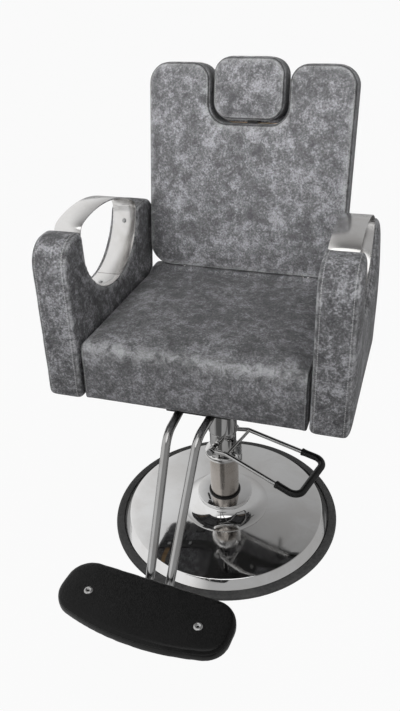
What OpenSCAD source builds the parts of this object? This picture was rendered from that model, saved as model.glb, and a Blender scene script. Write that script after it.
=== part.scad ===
// Threading chair: round pump base, lifting and turning seat, reclining back and sliding headrest.
// The origin is the centre of the base on the floor. +Z is up, and the sitter faces -Y.

/* [Base] */
// Outer radius of the rubber rim
base_r = 300; // [280:1:330]
// Height of the rubber rim
rim_h = 14; // [12:0.5:18]
// Width of rubber that shows outside the chrome cover
rim_w = 21.5; // [18:0.5:26]
// Width of rubber under the edge of the cover
rim_tongue = 8.5; // [7:0.5:12]
// Thickness of the steel ballast plate
ballast_t = 8; // [6:0.5:10]
// Thickness of the chrome cover sheet
cover_t = 2.5; // [2:0.1:3.5]
// Radial run of the slanted edge band
edge_run = 18.5; // [14:0.5:24]
// Height where the edge band meets the shallow cone
edge_z = 33; // [28:1:40]
// Height of the cover at the column hole
cover_top_z = 51; // [46:1:56]
// Radius of the column hole in the cover
cover_hole_r = 50; // [46:1:54]
// Radius of the bell at its foot
bell_foot_r = 116; // [100:1:130]
// Radius of the bell at its neck
bell_neck_r = 63; // [60:1:68]
// Radius of the flat disc on the bell
bell_top_r = 73; // [70:1:84]
// Height of the bell's neck
bell_neck_z = 77; // [74:1:80]
// Height of the top of the bell
bell_top_z = 90; // [88:1:100]
// Thickness of the bell's top disc
bell_lip = 7; // [5:0.5:8]

/* [Column] */
// Radius of the brushed pump tube
tube_r = 37.5; // [36:0.5:40]
// Wall of the pump tube
tube_wall = 3; // [2:0.5:4]
// Radius of the tube's foot flange
flange_r = 55; // [52:1:57]
// Thickness of the foot flange
flange_t = 10; // [8:1:12]
// Height of the underside of the pump head
head_z = 209; // [190:1:230]
// Height of the pump head's lip
head_h = 23; // [20:1:28]
// Radius of the pump head's lip
head_r = 48; // [47:0.5:52]
// Radius of the chrome collar above the head
collar_r = 34; // [33:0.2:35]
// Wall of the collar
collar_wall = 3; // [2:0.5:3.5]
// Height of the collar
collar_h = 113; // [100:1:120]
// Radius of the lifting rod
rod_r = 14; // [12:0.5:16]
// Radius of the piston
piston_r = 22; // [20:0.5:23]
// Height of the piston
piston_h = 20; // [16:1:24]
// Wall of the oil cylinder
oil_wall = 4; // [3:0.5:4.5]
// Travel of the seat below its height in the photo
lift_down = 50; // [40:1:55]
// Travel of the seat above its height in the photo
lift_up = 100; // [60:1:110]
// Wall of the outer shroud
shroud_wall = 2.2; // [1.8:0.1:3]
// Radius of the seat hub
hub_r = 30; // [26:1:32]

/* [Pump lever] */
// Turn of the lever about the column
lever_turn = -17.6; // [-60:0.1:60]
// Height of the lever's pivot above the pump head
pivot_rise = 26; // [24:1:30]
// Half the distance between the middles of the lever's eyes
pivot_half = 52; // [50:1:56]
// Reach of the lever from the column's axis to its end bar
lever_reach = 252; // [220:1:280]
// Half the width of the lever at its end bar
lever_half = 75; // [68:1:84]
// Rise of the legs where they leave the pivot
lever_neck_rise = 11; // [8:1:14]
// Run of the legs up to that rise
lever_neck_run = 42; // [36:1:50]
// Drop of the end bar below the pivot
lever_drop = 13; // [8:1:20]
// Radius of the lever's rod
lever_rod_r = 5.5; // [4.5:0.1:6]
// Radius of the rubber grip
grip_r = 9.5; // [8:0.1:11]
// Length of the grip along each leg
grip_leg = 40; // [30:1:60]
// Radius of the bends in the lever
lever_bend = 24; // [20:1:28]
// Distance of the plunger from the column's axis
plunger_x = 46; // [45:0.5:48]
// Radius of the pump plunger
plunger_r = 5; // [4:0.5:5.5]

/* [Seat] */
// Height of the seat's underside at the column
seat_z = 488.3; // [486:0.1:500]
// Backward rake of the seat
rake = 3.3; // [0:0.1:5]
// Half the width of the seat cushion
seat_half = 249.7; // [230:0.1:260]
// Distance from the column to the front of the seat
seat_front = 226; // [215:1:235]
// Distance from the column to the rear of the seat
seat_back = 200; // [198:1:203]
// Length of the cushion's tail under the back
seat_tail = 60; // [50:1:64]
// Thickness of the seat cushion at its edges
seat_t = 140; // [125:1:145]
// Crown of the seat cushion
seat_crown = 9; // [4:1:11]
// Radius of the seat cushion's upper edge
seat_edge_r = 20; // [12:1:28]
// Thickness of the plywood seat board
seat_board_t = 18; // [15:1:24]
// Thickness of the mounting plate
mount_t = 6; // [5:1:8]
// Half the side of the mounting plate
mount_half = 90; // [80:1:95]
// Half the spacing of the mounting plate's bolts
mount_bolt_half = 75; // [65:1:78]

/* [Arms] */
// Gap between the seat cushion and each arm
arm_gap = 5.1; // [3:0.1:8]
// Thickness of an arm at its foot
arm_t = 80; // [74:1:86]
// How much thinner an arm is at its top
arm_taper = 12; // [0:1:18]
// Distance from the column to the front of the arms
arm_front = 234; // [228:1:240]
// Distance from the column to the rear of an arm at its foot
arm_foot_back = 183; // [175:1:195]
// Distance from the column to the rear of an arm at its top
arm_top_back = 250; // [240:1:256]
// Height of the front of an arm
arm_front_h = 364; // [350:1:368]
// Height of the rear of an arm
arm_back_h = 332; // [328:1:336]
// Radius of the front upper corner
arm_front_r = 58; // [40:1:64]
// Radius of the rear upper corner
arm_back_r = 56; // [40:1:60]
// Radius along the arm's edges
arm_edge_r = 6; // [4:0.5:9]
// Distance of the steel loop's middle behind the column
loop_y = 6; // [2:0.5:10]
// Height of the steel loop's middle
loop_z = 330; // [326:1:334]
// Half the length of the steel loop
loop_a = 154; // [146:0.5:156]
// Depth of the steel loop below its middle
loop_b = 142; // [125:1:150]
// Radius of the loop's top arch
arch_r = 389; // [340:1:430]
// Height of the top of the arch
arch_top = 388.6; // [384:0.1:394]
// Distance of the arch's top in front of the column
arch_y = 35.3; // [20:0.1:45]
// Thickness of the steel loop
band_t = 3; // [2:0.5:4]
// Width of the steel loop
band_w = 61; // [54:1:64]
// Thickness of the plywood core of an arm
arm_core_t = 18; // [15:1:22]
// Thickness of the cross rails under the seat
rail_t = 5; // [4:0.5:6]
// Width of the cross rails
rail_w = 30; // [24:1:36]

/* [Back] */
// Lean of the back behind square to the seat
back_lean = 8.6; // [4:0.1:12]
// Distance from the column to the foot of the back's front face
back_foot_y = 196.8; // [195:0.1:200]
// Height of the back's foot above the seat's underside
back_foot_z = 158.8; // [157:0.1:170]
// Half the width of the back
back_half = 249; // [226:1:250]
// Height of the back along its face
back_h = 492; // [460:1:520]
// Thickness of the back with its rear panel
back_t = 80.3; // [76:0.1:90]
// Thickness of the plywood back board
back_board_t = 12; // [10:1:14]
// Thickness of the rear panel
rear_panel_t = 8.3; // [6:0.1:10]
// Crown of the back cushion
back_crown = 5; // [2:0.5:8]
// Radius of the back's lower corners
back_low_r = 58; // [40:1:64]
// Radius of the back's outer upper corners
back_high_r = 50; // [36:1:54]
// Radius of the corners beside the headrest
back_notch_r = 42; // [30:1:48]
// Radius along the cushion's front edge
back_edge_r = 11; // [8:0.5:14]
// Steepest recline of the back
recline_max = 35; // [20:1:38]

/* [Headrest] */
// Half the width of the headrest
head_half = 86; // [76:1:88]
// Height of the headrest pad
head_pad_h = 139; // [120:1:145]
// Thickness of the headrest pad
head_pad_t = 75; // [65:1:80]
// Radius of the headrest's corners
head_pad_r = 40; // [30:1:50]
// How far the headrest stands proud of the back
head_proud = 5; // [2:0.5:8]
// Gap between the headrest and the back on each side
head_gap = 8; // [6:0.5:12]
// Travel of the headrest
head_travel = 90; // [60:1:95]
// Half the width of the headrest bar
bar_half = 12.5; // [10:0.5:16]
// Thickness of the headrest bar
bar_t = 6; // [5:0.5:7]
// Length of the headrest bar
bar_l = 235; // [225:1:245]

/* [Footrest] */
// Radius of the footrest bars
foot_bar_r = 9.5; // [8:0.5:11]
// Half the spacing of the bars at their front bend
foot_bend_half = 33; // [30:1:40]
// Half the spacing of the bars under the board
foot_low_half = 21.5; // [18:0.5:26]
// How far the front bend lies before the seat
foot_lead = 69; // [60:1:90]
// Length of the bars between their bends
foot_leg = 308; // [280:1:330]
// Slope of the bars below level
foot_slope = 53; // [48:1:58]
// Radius of the bends in the bars
foot_bend_r = 55; // [45:1:65]
// Half the length of the footrest board
foot_half = 183; // [164:1:200]
// Half the depth of the footrest board at its ends
foot_depth = 57.5; // [52:0.5:58]
// Thickness of the footrest board
foot_t = 30; // [24:1:34]
// Turn of the board on its bolts
foot_twist = -5.3; // [-8:0.1:8]
// Distance of the board's middle before the bend under it
foot_set = 68; // [68:1:80]
// Distance of the board's middle to the side
foot_shift = 2; // [-10:1:10]
// Half the spacing of the board's bolts
foot_bolt_half = 118.5; // [100:0.5:130]

/* [Recliner] */
// Distance of the pivot behind the seat cushion
pivot_back = 38.7; // [37:0.1:42]
// Height of the pivot above the seat's underside
pivot_up = 115.6; // [112:0.1:118]
// Distance of the back's steel arms from the middle
hinge_x = 150; // [130:1:170]
// Thickness of the hinge plates
hinge_t = 6; // [5:0.5:8]
// Radius of the pivot bolts
pin_r = 8; // [6:0.5:9]
// Radius of the slot from the pivot
slot_r = 55; // [50:1:58]
// Place of the lock bolt below the pivot, behind straight down
slot_start = 22; // [18:1:26]
// Radius of the lock bolt
lock_r = 5; // [4:0.5:6]
// Length of the lock handle
handle_l = 105; // [90:1:130]

/* [Hidden] */
$fn = 64;

// Clearances and the overrun of every cut
run_gap = 0.05;
still_gap = 0.05;
soft_gap = 0.3;
side_gap = 0.5;
bend_lap = 1;
bend_step = 0.02;
cut = 1;

// Base, worked out
cover_r = base_r - rim_w;
break_r = cover_r - edge_run;
rim_in_r = cover_r - rim_tongue;
rim_groove_z = rim_h / 5;
rim_round = rim_h * 0.42;
rim_tongue_h = rim_h * 0.6;
band_foot_z = rim_h - cover_t;
bell_bore_r = tube_r + soft_gap;
bell_cavity_r = flange_r + cut;
bell_edge = 1.6;
seal_w = 4.5;
seal_h = 4;

// Column, worked out
flange_z = ballast_t;
tube_z = flange_z + flange_t;
head_top = head_z + head_h;
collar_top = head_top + collar_h;
oil_r = piston_r + run_gap + oil_wall;
oil_top = head_top + collar_h * 0.6;
bush_h = 25;
rod_seal_h = 4;
rod_seal_r = 20;
thrust_h = 6;
thrust_r = 24;
washer_t = 4;
lift_margin = 3;
thrust_z = collar_top + rod_seal_h + lift_down + lift_margin;
hub_z = thrust_z + thrust_h + washer_t;
rod_top = seat_z - mount_t - 6 * side_gap;
piston_z = tube_z + lift_down + 9 * lift_margin;
shroud_r = collar_r + soft_gap + shroud_wall;
shroud_z = head_top + lift_down + 4 * lift_margin;
shroud_ring_h = 6;
shroud_ring_z = seat_z - 22;
flange_bolt_r = 4;
flange_bolt_head_r = 6.5;
flange_bolt_head_h = 5.5;
flange_bolts_at = (flange_r + tube_r) / 2;
flange_bolt_count = 4;

// Lever, worked out
pivot_z = head_top + pivot_rise;
ear_t = 7;
ear_half = 11;
ear_y = shroud_r + side_gap;
eye_t = 2 * lever_rod_r;
eye_r = 11;
stud_r = 5;
stud_head_r = 9;
stud_head_h = 5;
bridge_r = 4;
bridge_z = lever_neck_rise;
plunger_boss_r = 2 * plunger_r;
plunger_boss_top = head_top + bridge_r;
plunger_depth = head_h - bridge_r;
plunger_cap_h = 4;
plunger_cap_r = plunger_r + 3;
plunger_top = pivot_z + bridge_z - bridge_r - soft_gap;
spring_wire_r = 0.8;
spring_r = plunger_r + 3 * spring_wire_r;
spring_turns = 5;
spring_sides = 6;
spring_steps = 12;

// Seat, worked out
seat_corner_r = 8;
seat_foot_r = 6;
seat_waist = 3;
tail_foot_share = 0.1;
board_inset = 12;
bolt_r = 4;
bolt_head_r = 6.5;
bolt_head_h = 5;
bolt_bite = 14;

// Arms, worked out
arm_in = seat_half + arm_gap;
arm_out = arm_in + arm_t;
arm_foot_r = 14;
arm_tip_r = 6;
arm_corner_steps = 6;
notch_steps = 26;
notch_gap = 0.6;
arm_rows = 2;
least_r = 0.5;
arm_waist = 1.5;
arm_crown = 2;
arm_core_inset = 16;
arm_core_x = arm_in + band_w / 2 - arm_core_t / 2 + 2 * cut;
band_x = arm_in + 4;
loop_blend = 20;
loop_steps = 60;
loop_mid = [loop_y, loop_z];
arch_mid = [-arch_y, arch_top - arch_r];
notch_front_a = 173;
notch_back_a = 355;
notch_turn_per_mm = 0.25;
screw_angles = [-16, 262, 196];
screw_r = 2.5;
screw_head_r = 5.5;
screw_head_h = 2.4;
screw_l = 26;
rail_half = arm_out - 2 * arm_edge_r;
rail_ys = [-0.53 * seat_front, 0.53 * seat_back];
rail_bolt_xs = [0.8 * seat_half, arm_core_x + arm_core_t / 2];

// Back, worked out
back_cushion_t = back_t - rear_panel_t;
notch_half = head_half + head_gap;
notch_z = back_h - head_pad_h + head_proud;
back_rear_r = 6;
back_waist = 2.5;
back_spine_shares = [[-0.7, 0.83], [-0.7, 0.36], [0.7, 0.36], [0.7, 0.83]];
back_spine = [for (s = back_spine_shares) [s.x * back_half, s.y * back_h]];
board_y = back_cushion_t - back_board_t;
rear_inset = 1;
panel_notch_z = notch_z + 0.6 * head_pad_h;
panel_notch_r = 10;

// Headrest, worked out
head_z0 = notch_z + head_gap;
head_edge_r = 11;
head_crown = 4;
bar_y = board_y - bar_t - 4;
guide_wall = 3;
guide_h = 115;
guide_top_z = notch_z - head_gap;
head_board_half = head_half * 0.7;
head_board_t = 10;
head_board_h = head_pad_h * 0.5;
bar_top_z = head_z0 + 0.56 * head_pad_h;

// Footrest, worked out
foot_bar_z = -rail_t - foot_bar_r - soft_gap;
foot_tail = seat_front + foot_lead + rail_ys[0] + rail_w / 2 + 6 * cut;
foot_run = foot_set + 36;
strap_t = 4;
strap_half = foot_bolt_half + 18;
strap_depth = 22;
foot_edge_r = 8;
foot_corner_r = 45;
foot_belly_r = 540;
foot_belly = 47;
foot_crown = 1;
foot_bolt_y = -18;
foot_bolt_r = 4;
foot_bolt_head_r = 9.5;
foot_bolt_head_h = 3;
nut_h = 6;
nut_r = 7.5;
saddle_half = foot_bend_half + 42;
saddle_w = 44;
saddle_wall = 5;
saddle_y = rail_ys[0] - rail_w / 2 - saddle_w / 2 - 2 * side_gap;

// Recliner, worked out
pivot_y = seat_back + pivot_back;
hinge_washer_t = 2;
bracket_x = hinge_x + hinge_t + hinge_washer_t;
bracket_eye_r = 23;
steel_eye_r = 22;
bracket_foot_w = 40;
bracket_foot_l = 44;
bracket_drop = 30;
bracket_clear = 6;
steel_flange_w = 34;
steel_flange_t = 4;
steel_rise = 150;
pin_head_r = 13;
pin_head_h = 5;
sector_out = slot_r + 3 * lock_r;
tail_slot_x = hinge_x - pin_head_h - 2 * cut;
tail_slot_w = 2 * (hinge_t + pin_head_h + 2 * cut) + hinge_washer_t;
sector_side = 11;
lock_head_h = 4;
handle_r = 4;
handle_hub_r = 11;
handle_hub_h = 18;
handle_grip_r = 8;
handle_grip_l = 55;

// Height of the cover's top surface at radius r of its shallow cone
function cover_height(r) = edge_z + (break_r - r) * (cover_top_z - edge_z) / (break_r - cover_hole_r);

// Unit vector along v
function unit(v) = v / norm(v);

// Round the corner b between a and c with radius r in n steps
function fillet(a, b, c, r, n) = let(
    u = unit(a - b), v = unit(c - b), half = acos(u * v) / 2, reach = r / tan(half),
    mid = b + unit(u + v) * r / sin(half), from = b + u * reach - mid, to = b + v * reach - mid,
    a0 = atan2(from.y, from.x), turn = atan2(to.y, to.x) - a0,
    sweep = turn > 180 ? turn - 360 : turn < -180 ? turn + 360 : turn)
    [for (i = [0:n]) mid + r * [cos(a0 + sweep * i / n), sin(a0 + sweep * i / n)]];

// Outline through corners given as x, y and radius
function rounded(corners, n = 7) = let(m = len(corners)) [for (i = [0:m - 1]) let(
    q = corners[i], a = corners[(i + m - 1) % m], c = corners[(i + 1) % m])
    each fillet([a.x, a.y], [q.x, q.y], [c.x, c.y], q.z, n)];

// Point of the line of spine points that lies nearest to p
function on_segment(p, a, b) = a + (b - a) * max(0, min(1, (p - a) * (b - a) / ((b - a) * (b - a))));
function nearest(p, spine) = let(
    feet = [for (i = [0:len(spine) - 2]) on_segment(p, spine[i], spine[i + 1])],
    gaps = [for (q = feet) norm(q - p)], least = min(gaps))
    [for (i = [0:len(feet) - 1]) if (gaps[i] == least) feet[i]][0];

// Move p towards the spine by a length, and then by a share of what is left
function drawn_in(p, spine, d, share) = let(q = nearest(p, spine), l = norm(q - p))
    p + (q - p) * (min(d / l, 1) + share * (1 - min(d / l, 1)));

// Closed cushion from an outline and a list of rings [inset, share, height], lowest first, with its points moved
module cushion_form(outline, spine, rings, moved = function (p) p) {
    n = len(outline);
    m = len(rings);
    points = [for (r = rings) for (p = outline) let(q = drawn_in(p, spine, r[0], r[1]))
        moved([q.x, q.y, r[2]])];
    sides = [for (k = [0:m - 2]) for (i = [0:n - 1]) let(
        a = k * n + i, b = k * n + (i + 1) % n) each [[a, a + n, b + n], [a, b + n, b]]];
    caps = [[for (i = [0:n - 1]) i], [for (i = [n - 1:-1:0]) (m - 1) * n + i]];
    polyhedron(points, concat(sides, caps), convexity = 6);
}

// Rings of a cushion between two faces: edge radii, waist, and a crown on the upper face
function edge_rings(low, high, r0, r1, waist, crown) = let(bevel = 1 - cos(45)) [
    [r0, 0.4, low], [r0, 0, low], [r0 * bevel, 0, low + r0 * bevel], [0, 0, low + r0],
    [waist, 0, (low + high) / 2],
    [0, 0, high - r1], [r1 * bevel, 0, high - r1 * bevel], [r1, 0, high],
    [r1, 0.25, high + 0.6 * crown], [r1, 0.7, high + crown]];

// Round bar between two points
module strut(a, b, r) {
    d = b - a;
    translate(a) rotate([0, acos(d.z / norm(d)), atan2(d.y, d.x)]) cylinder(r = r, h = norm(d));
}

// Round bar along points, with bends of one radius. Each straight runs a little into its bends, a hair thinner.
module bent_rod(points, r, bend) {
    last = len(points) - 1;
    half = [for (i = [0:last]) i == 0 || i == last ? 90
        : acos(unit(points[i - 1] - points[i]) * unit(points[i + 1] - points[i])) / 2];
    for (i = [0:last - 1]) let(d = unit(points[i + 1] - points[i]))
        strut(points[i] + d * (i == 0 ? 0 : bend / tan(half[i]) - bend_lap),
            points[i + 1] - d * (i + 1 == last ? 0 : bend / tan(half[i + 1]) - bend_lap), r - bend_step);
    for (i = [1:last - 1]) let(
        u = unit(points[i - 1] - points[i]), v = unit(points[i + 1] - points[i]),
        mid = points[i] + unit(u + v) * bend / sin(half[i]),
        e1 = unit(points[i] + u * bend / tan(half[i]) - mid),
        e3 = unit(cross(e1, points[i] + v * bend / tan(half[i]) - mid)), e2 = cross(e3, e1))
        multmatrix([[e1.x, e2.x, e3.x, mid.x], [e1.y, e2.y, e3.y, mid.y], [e1.z, e2.z, e3.z, mid.z]])
        rotate_extrude(angle = 180 - 2 * half[i]) translate([bend, 0]) circle(r = r);
}

// The same line with both ends drawn out by a length
function drawn_out(line, d) = let(e = len(line) - 1) [for (i = [0:e])
    line[i] + (i == 0 ? d * unit(line[0] - line[1]) : i == e ? d * unit(line[e] - line[e - 1]) : [0, 0, 0])];

// Ring between two radii and two heights
module ring(r_in, r_out, z0, z1) {
    translate([0, 0, z0]) difference() {
        cylinder(r = r_out, h = z1 - z0);
        translate([0, 0, -cut]) cylinder(r = r_in, h = z1 - z0 + 2 * cut);
    }
}

// Bolt with a hexagon head below z = 0 and its shank above
module hex_bolt(r, l, head_r, head_h) {
    translate([0, 0, -head_h]) cylinder(r = head_r, h = head_h, $fn = 6);
    translate([0, 0, -cut]) cylinder(r = r, h = l + cut);
}

// Frames of the turned lever, the raked seat, the back and the footrest board
module lever_frame() { rotate([0, 0, lever_turn]) translate([0, 0, pivot_z]) children(); }
module seat_frame() { translate([0, 0, seat_z]) rotate([-rake, 0, 0]) children(); }
module back_frame() { seat_frame() translate([0, back_foot_y, back_foot_z]) rotate([-back_lean, 0, 0]) children(); }
module both_sides() { children(); mirror([1, 0, 0]) children(); }

// Base

module ballast_plate() {
    color("dimgray") difference() {
        cylinder(r = rim_in_r - soft_gap, h = ballast_t);
        flange_bolt_places() translate([0, 0, ballast_t / 4]) cylinder(r = flange_bolt_r + still_gap, h = ballast_t);
    }
}

module flange_bolt_places() {
    for (i = [0:flange_bolt_count - 1]) rotate([0, 0, lever_turn + (i + 0.5) * 360 / flange_bolt_count])
        translate([flange_bolts_at, 0, 0]) children();
}

module base_cover() {
    color("gainsboro") rotate_extrude() polygon([
        [cover_r, rim_groove_z + still_gap], [cover_r, band_foot_z], [break_r, edge_z],
        [cover_hole_r, cover_top_z], [cover_hole_r, cover_top_z - cover_t],
        [break_r - cover_t / 2, edge_z - cover_t], [cover_r - cover_t, band_foot_z - cover_t / 2],
        [cover_r - cover_t, rim_groove_z + still_gap]]);
}

module base_rim() {
    groove_in = cover_r - cover_t - soft_gap;
    color("#222222") rotate_extrude() difference() {
        union() {
            translate([rim_in_r, 0]) square([base_r - rim_in_r - rim_round, rim_tongue_h]);
            translate([cover_r, 0]) square([base_r - cover_r - rim_round, rim_h]);
            translate([base_r - rim_round - cut, 0]) square([rim_round / 2, rim_h]);
            for (z = [rim_round, rim_h - rim_round]) translate([base_r - rim_round, z]) circle(r = rim_round);
            translate([base_r - rim_round, rim_round]) square([rim_round, rim_h - 2 * rim_round]);
        }
        translate([groove_in, rim_groove_z]) square([cover_r - groove_in + soft_gap, rim_h]);
    }
}

module base_bell() {
    steps = 12;
    curve = [for (i = [0:steps]) let(a = 90 - 90 * i / steps)
        [bell_foot_r - (bell_foot_r - bell_neck_r) * cos(a),
        bell_neck_z - (bell_neck_z - cover_height(bell_foot_r) - bell_edge) * sin(a)]];
    color("gainsboro") rotate_extrude() polygon(concat([[bell_foot_r, cover_height(bell_foot_r) + still_gap]], curve, [
        [bell_top_r - bell_lip / 4, bell_top_z - bell_lip], [bell_top_r, bell_top_z - bell_lip * 0.75],
        [bell_top_r, bell_top_z - bell_lip / 4], [bell_top_r - bell_lip / 4, bell_top_z],
        [bell_bore_r, bell_top_z], [bell_bore_r, bell_top_z - bell_lip],
        [bell_cavity_r, bell_top_z - 2 * bell_lip], [bell_cavity_r, cover_height(bell_cavity_r) + still_gap]]));
}

module column_seal() {
    color("#111111") ring(bell_bore_r, tube_r + seal_w, bell_top_z, bell_top_z + seal_h);
}

module pump_flange() {
    color("silver") difference() {
        translate([0, 0, flange_z]) cylinder(r = flange_r, h = flange_t);
        flange_bolt_places() cylinder(r = flange_bolt_r + still_gap, h = tube_z + cut);
    }
}

module flange_bolts() {
    color("silver") flange_bolt_places() translate([0, 0, tube_z]) mirror([0, 0, 1])
        hex_bolt(flange_bolt_r, tube_z - ballast_t / 2, flange_bolt_head_r, flange_bolt_head_h);
}

module pump_tube() { color("#b8aaa0") ring(tube_r - tube_wall, tube_r, tube_z, head_z); }

module oil_cylinder() { color("silver") ring(piston_r + run_gap, oil_r, tube_z, oil_top); }

module pump_head() {
    color("gainsboro") difference() {
        union() {
            translate([0, 0, head_z]) rotate_extrude() polygon([
                [0, 0], [tube_r, 0], [head_r, head_h * 0.4], [head_r, head_h * 0.85],
                [head_r - head_h * 0.15, head_h], [0, head_h]]);
            lever_frame() {
                translate([plunger_x, 0, head_z - pivot_z]) cylinder(r = plunger_boss_r, h = plunger_boss_top - head_z);
                for (s = [-1, 1]) translate([0, s * (ear_y + ear_t / 2), 0]) rotate([90, 0, 0])
                    cylinder(r = ear_half, h = ear_t, center = true);
                for (s = [-1, 1]) translate([-ear_half, s * (ear_y + ear_t / 2) - ear_t / 2, -pivot_rise - cut])
                    cube([2 * ear_half, ear_t, pivot_rise + cut]);
            }
        }
        translate([0, 0, head_z - cut]) cylinder(r = oil_r + still_gap, h = head_h + 2 * cut);
        lever_frame() {
            translate([plunger_x, 0, head_top - plunger_depth - pivot_z])
                cylinder(r = plunger_r + run_gap, h = head_h + pivot_rise);
            rotate([90, 0, 0]) cylinder(r = stud_r + still_gap, h = 2 * head_r + ear_t, center = true);
        }
    }
}

module head_collar() { color("gainsboro") ring(collar_r - collar_wall, collar_r, head_top, collar_top); }

module rod_bush() {
    color("goldenrod") ring(rod_r + run_gap, collar_r - collar_wall - still_gap, collar_top - bush_h, collar_top);
}

module rod_seal() { color("#111111") ring(rod_r + run_gap, rod_seal_r, collar_top, collar_top + rod_seal_h); }

module lever_studs() {
    eye_out = pivot_half + lever_rod_r + side_gap + cut;
    color("silver") lever_frame() for (s = [-1, 1]) rotate([-90 * s, 0, 0]) {
        translate([0, 0, ear_y]) cylinder(r = stud_r, h = eye_out - ear_y + stud_head_h / 2);
        translate([0, 0, eye_out]) cylinder(r = stud_head_r, h = stud_head_h);
    }
}

// Open coil of the return spring round the plunger
module plunger_spring() {
    z0 = plunger_boss_top + spring_wire_r;
    z1 = plunger_top - plunger_cap_h - spring_wire_r;
    count = spring_turns * spring_steps;
    points = [for (i = [0:count]) for (j = [0:spring_sides - 1]) let(
        a = 360 * i / spring_steps, b = 360 * j / spring_sides, r = spring_r + spring_wire_r * cos(b))
        [r * cos(a), r * sin(a), z0 + (z1 - z0) * i / count + spring_wire_r * sin(b)]];
    sides = [for (i = [0:count - 1]) for (j = [0:spring_sides - 1]) let(
        a = i * spring_sides + j, b = i * spring_sides + (j + 1) % spring_sides)
        each [[a, b, b + spring_sides], [a, b + spring_sides, a + spring_sides]]];
    caps = [[for (j = [spring_sides - 1:-1:0]) j], [for (j = [0:spring_sides - 1]) count * spring_sides + j]];
    color("silver") rotate([0, 0, lever_turn]) translate([plunger_x, 0, 0])
        polyhedron(points, concat(sides, caps), convexity = 10);
}

// Lifting rod

module piston_rod() {
    color("whitesmoke") translate([0, 0, piston_z]) cylinder(r = rod_r, h = rod_top - piston_z);
}

module piston() { color("silver") ring(rod_r + still_gap, piston_r, piston_z, piston_z + piston_h); }

module thrust_collar() {
    color("silver") ring(rod_r + still_gap, thrust_r, thrust_z, thrust_z + thrust_h);
}

// Pump lever and plunger

module pump_plunger() {
    color("silver") rotate([0, 0, lever_turn]) translate([plunger_x, 0, 0]) {
        foot = head_top - plunger_depth + lift_down / 3;
        translate([0, 0, foot]) cylinder(r = plunger_r, h = plunger_top - foot);
        translate([0, 0, plunger_top - plunger_cap_h]) cylinder(r = plunger_cap_r, h = plunger_cap_h);
    }
}

// Middle line of the lever's rod, from one eye to the other
neck_half = pivot_half + (lever_half - pivot_half) * lever_neck_run / lever_reach;
function lever_leg(s) = [[0, s * pivot_half, 0], [lever_neck_run, s * neck_half, lever_neck_rise],
    [lever_reach, s * lever_half, -lever_drop]];

// Grip's middle line, round the end bar and a little way up each leg
function grip_end(s) = let(leg = lever_leg(s)) leg[2] + unit(leg[1] - leg[2]) * (lever_bend + grip_leg);
grip_line = [grip_end(-1), lever_leg(-1)[2], lever_leg(1)[2], grip_end(1)];

module pump_lever() {
    left = lever_leg(-1);
    right = lever_leg(1);
    color("gainsboro") lever_frame() difference() {
        union() {
            bent_rod([left[0], left[1], left[2], right[2], right[1], right[0]], lever_rod_r, lever_bend);
            for (s = [-1, 1]) translate([0, s * pivot_half, 0]) rotate([90, 0, 0])
                cylinder(r = eye_r, h = eye_t, center = true);
            strut([plunger_x, -neck_half, bridge_z], [plunger_x, neck_half, bridge_z], bridge_r);
        }
        rotate([90, 0, 0]) cylinder(r = stud_r + run_gap, h = 2 * (pivot_half + eye_t), center = true);
    }
}

module lever_grip() {
    color("#181818") lever_frame() difference() {
        bent_rod(grip_line, grip_r, lever_bend);
        bent_rod(drawn_out(grip_line, cut), lever_rod_r + still_gap + bend_step, lever_bend);
    }
}

// Seat carrier

module seat_hub() {
    color("dimgray") difference() {
        union() {
            translate([0, 0, hub_z]) cylinder(r = hub_r, h = seat_z - hub_z);
            translate([0, 0, shroud_ring_z]) cylinder(r = shroud_r - shroud_wall - still_gap, h = shroud_ring_h);
        }
        translate([0, 0, hub_z - cut]) cylinder(r = rod_r + run_gap, h = rod_top + side_gap - hub_z + cut);
        seat_frame() translate([-hub_r * 2, -hub_r * 2, -mount_t]) cube([hub_r * 4, hub_r * 4, hub_r]);
    }
}

module thrust_washer() { color("goldenrod") ring(rod_r + run_gap, thrust_r, hub_z - washer_t, hub_z); }

module column_shroud() {
    color("gainsboro") ring(shroud_r - shroud_wall, shroud_r, shroud_z, shroud_ring_z + shroud_ring_h);
}

module mounting_plate() {
    color("dimgray") seat_frame() difference() {
        translate([-mount_half, -mount_half, -mount_t]) cube([2 * mount_half, 2 * mount_half, mount_t]);
        mount_bolt_places() cylinder(r = bolt_r + still_gap, h = 3 * mount_t, center = true);
    }
}

module mount_bolt_places() {
    for (x = [-1, 1]) for (y = [-1, 1]) translate([x * mount_bolt_half, y * mount_bolt_half, 0]) children();
}

module mounting_bolts() {
    color("silver") seat_frame() mount_bolt_places() translate([0, 0, -mount_t])
        hex_bolt(bolt_r, mount_t + bolt_bite, bolt_head_r, bolt_head_h);
}

// Seat

module seat_board_shape(gap) {
    translate([-seat_half + board_inset - gap, -seat_front + board_inset - gap, -gap * 2])
        cube([2 * (seat_half - board_inset + gap), seat_front + seat_back - 2 * (board_inset - gap),
        seat_board_t + 3 * gap]);
}

module seat_board() {
    color("burlywood") seat_frame() difference() {
        seat_board_shape(0);
        mount_bolt_places() cylinder(r = bolt_r + still_gap, h = 2 * (bolt_bite + side_gap), center = true);
        rail_bolt_places(0) cylinder(r = bolt_r + still_gap, h = 2 * (bolt_bite + side_gap), center = true);
    }
}

// Share of the tail that the seat cushion has at height z: its upper half runs on under the back
function tail_share(z) = max(tail_foot_share, min(1, (z - seat_t / 2) / (seat_t / 2 - seat_edge_r)));

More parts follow.
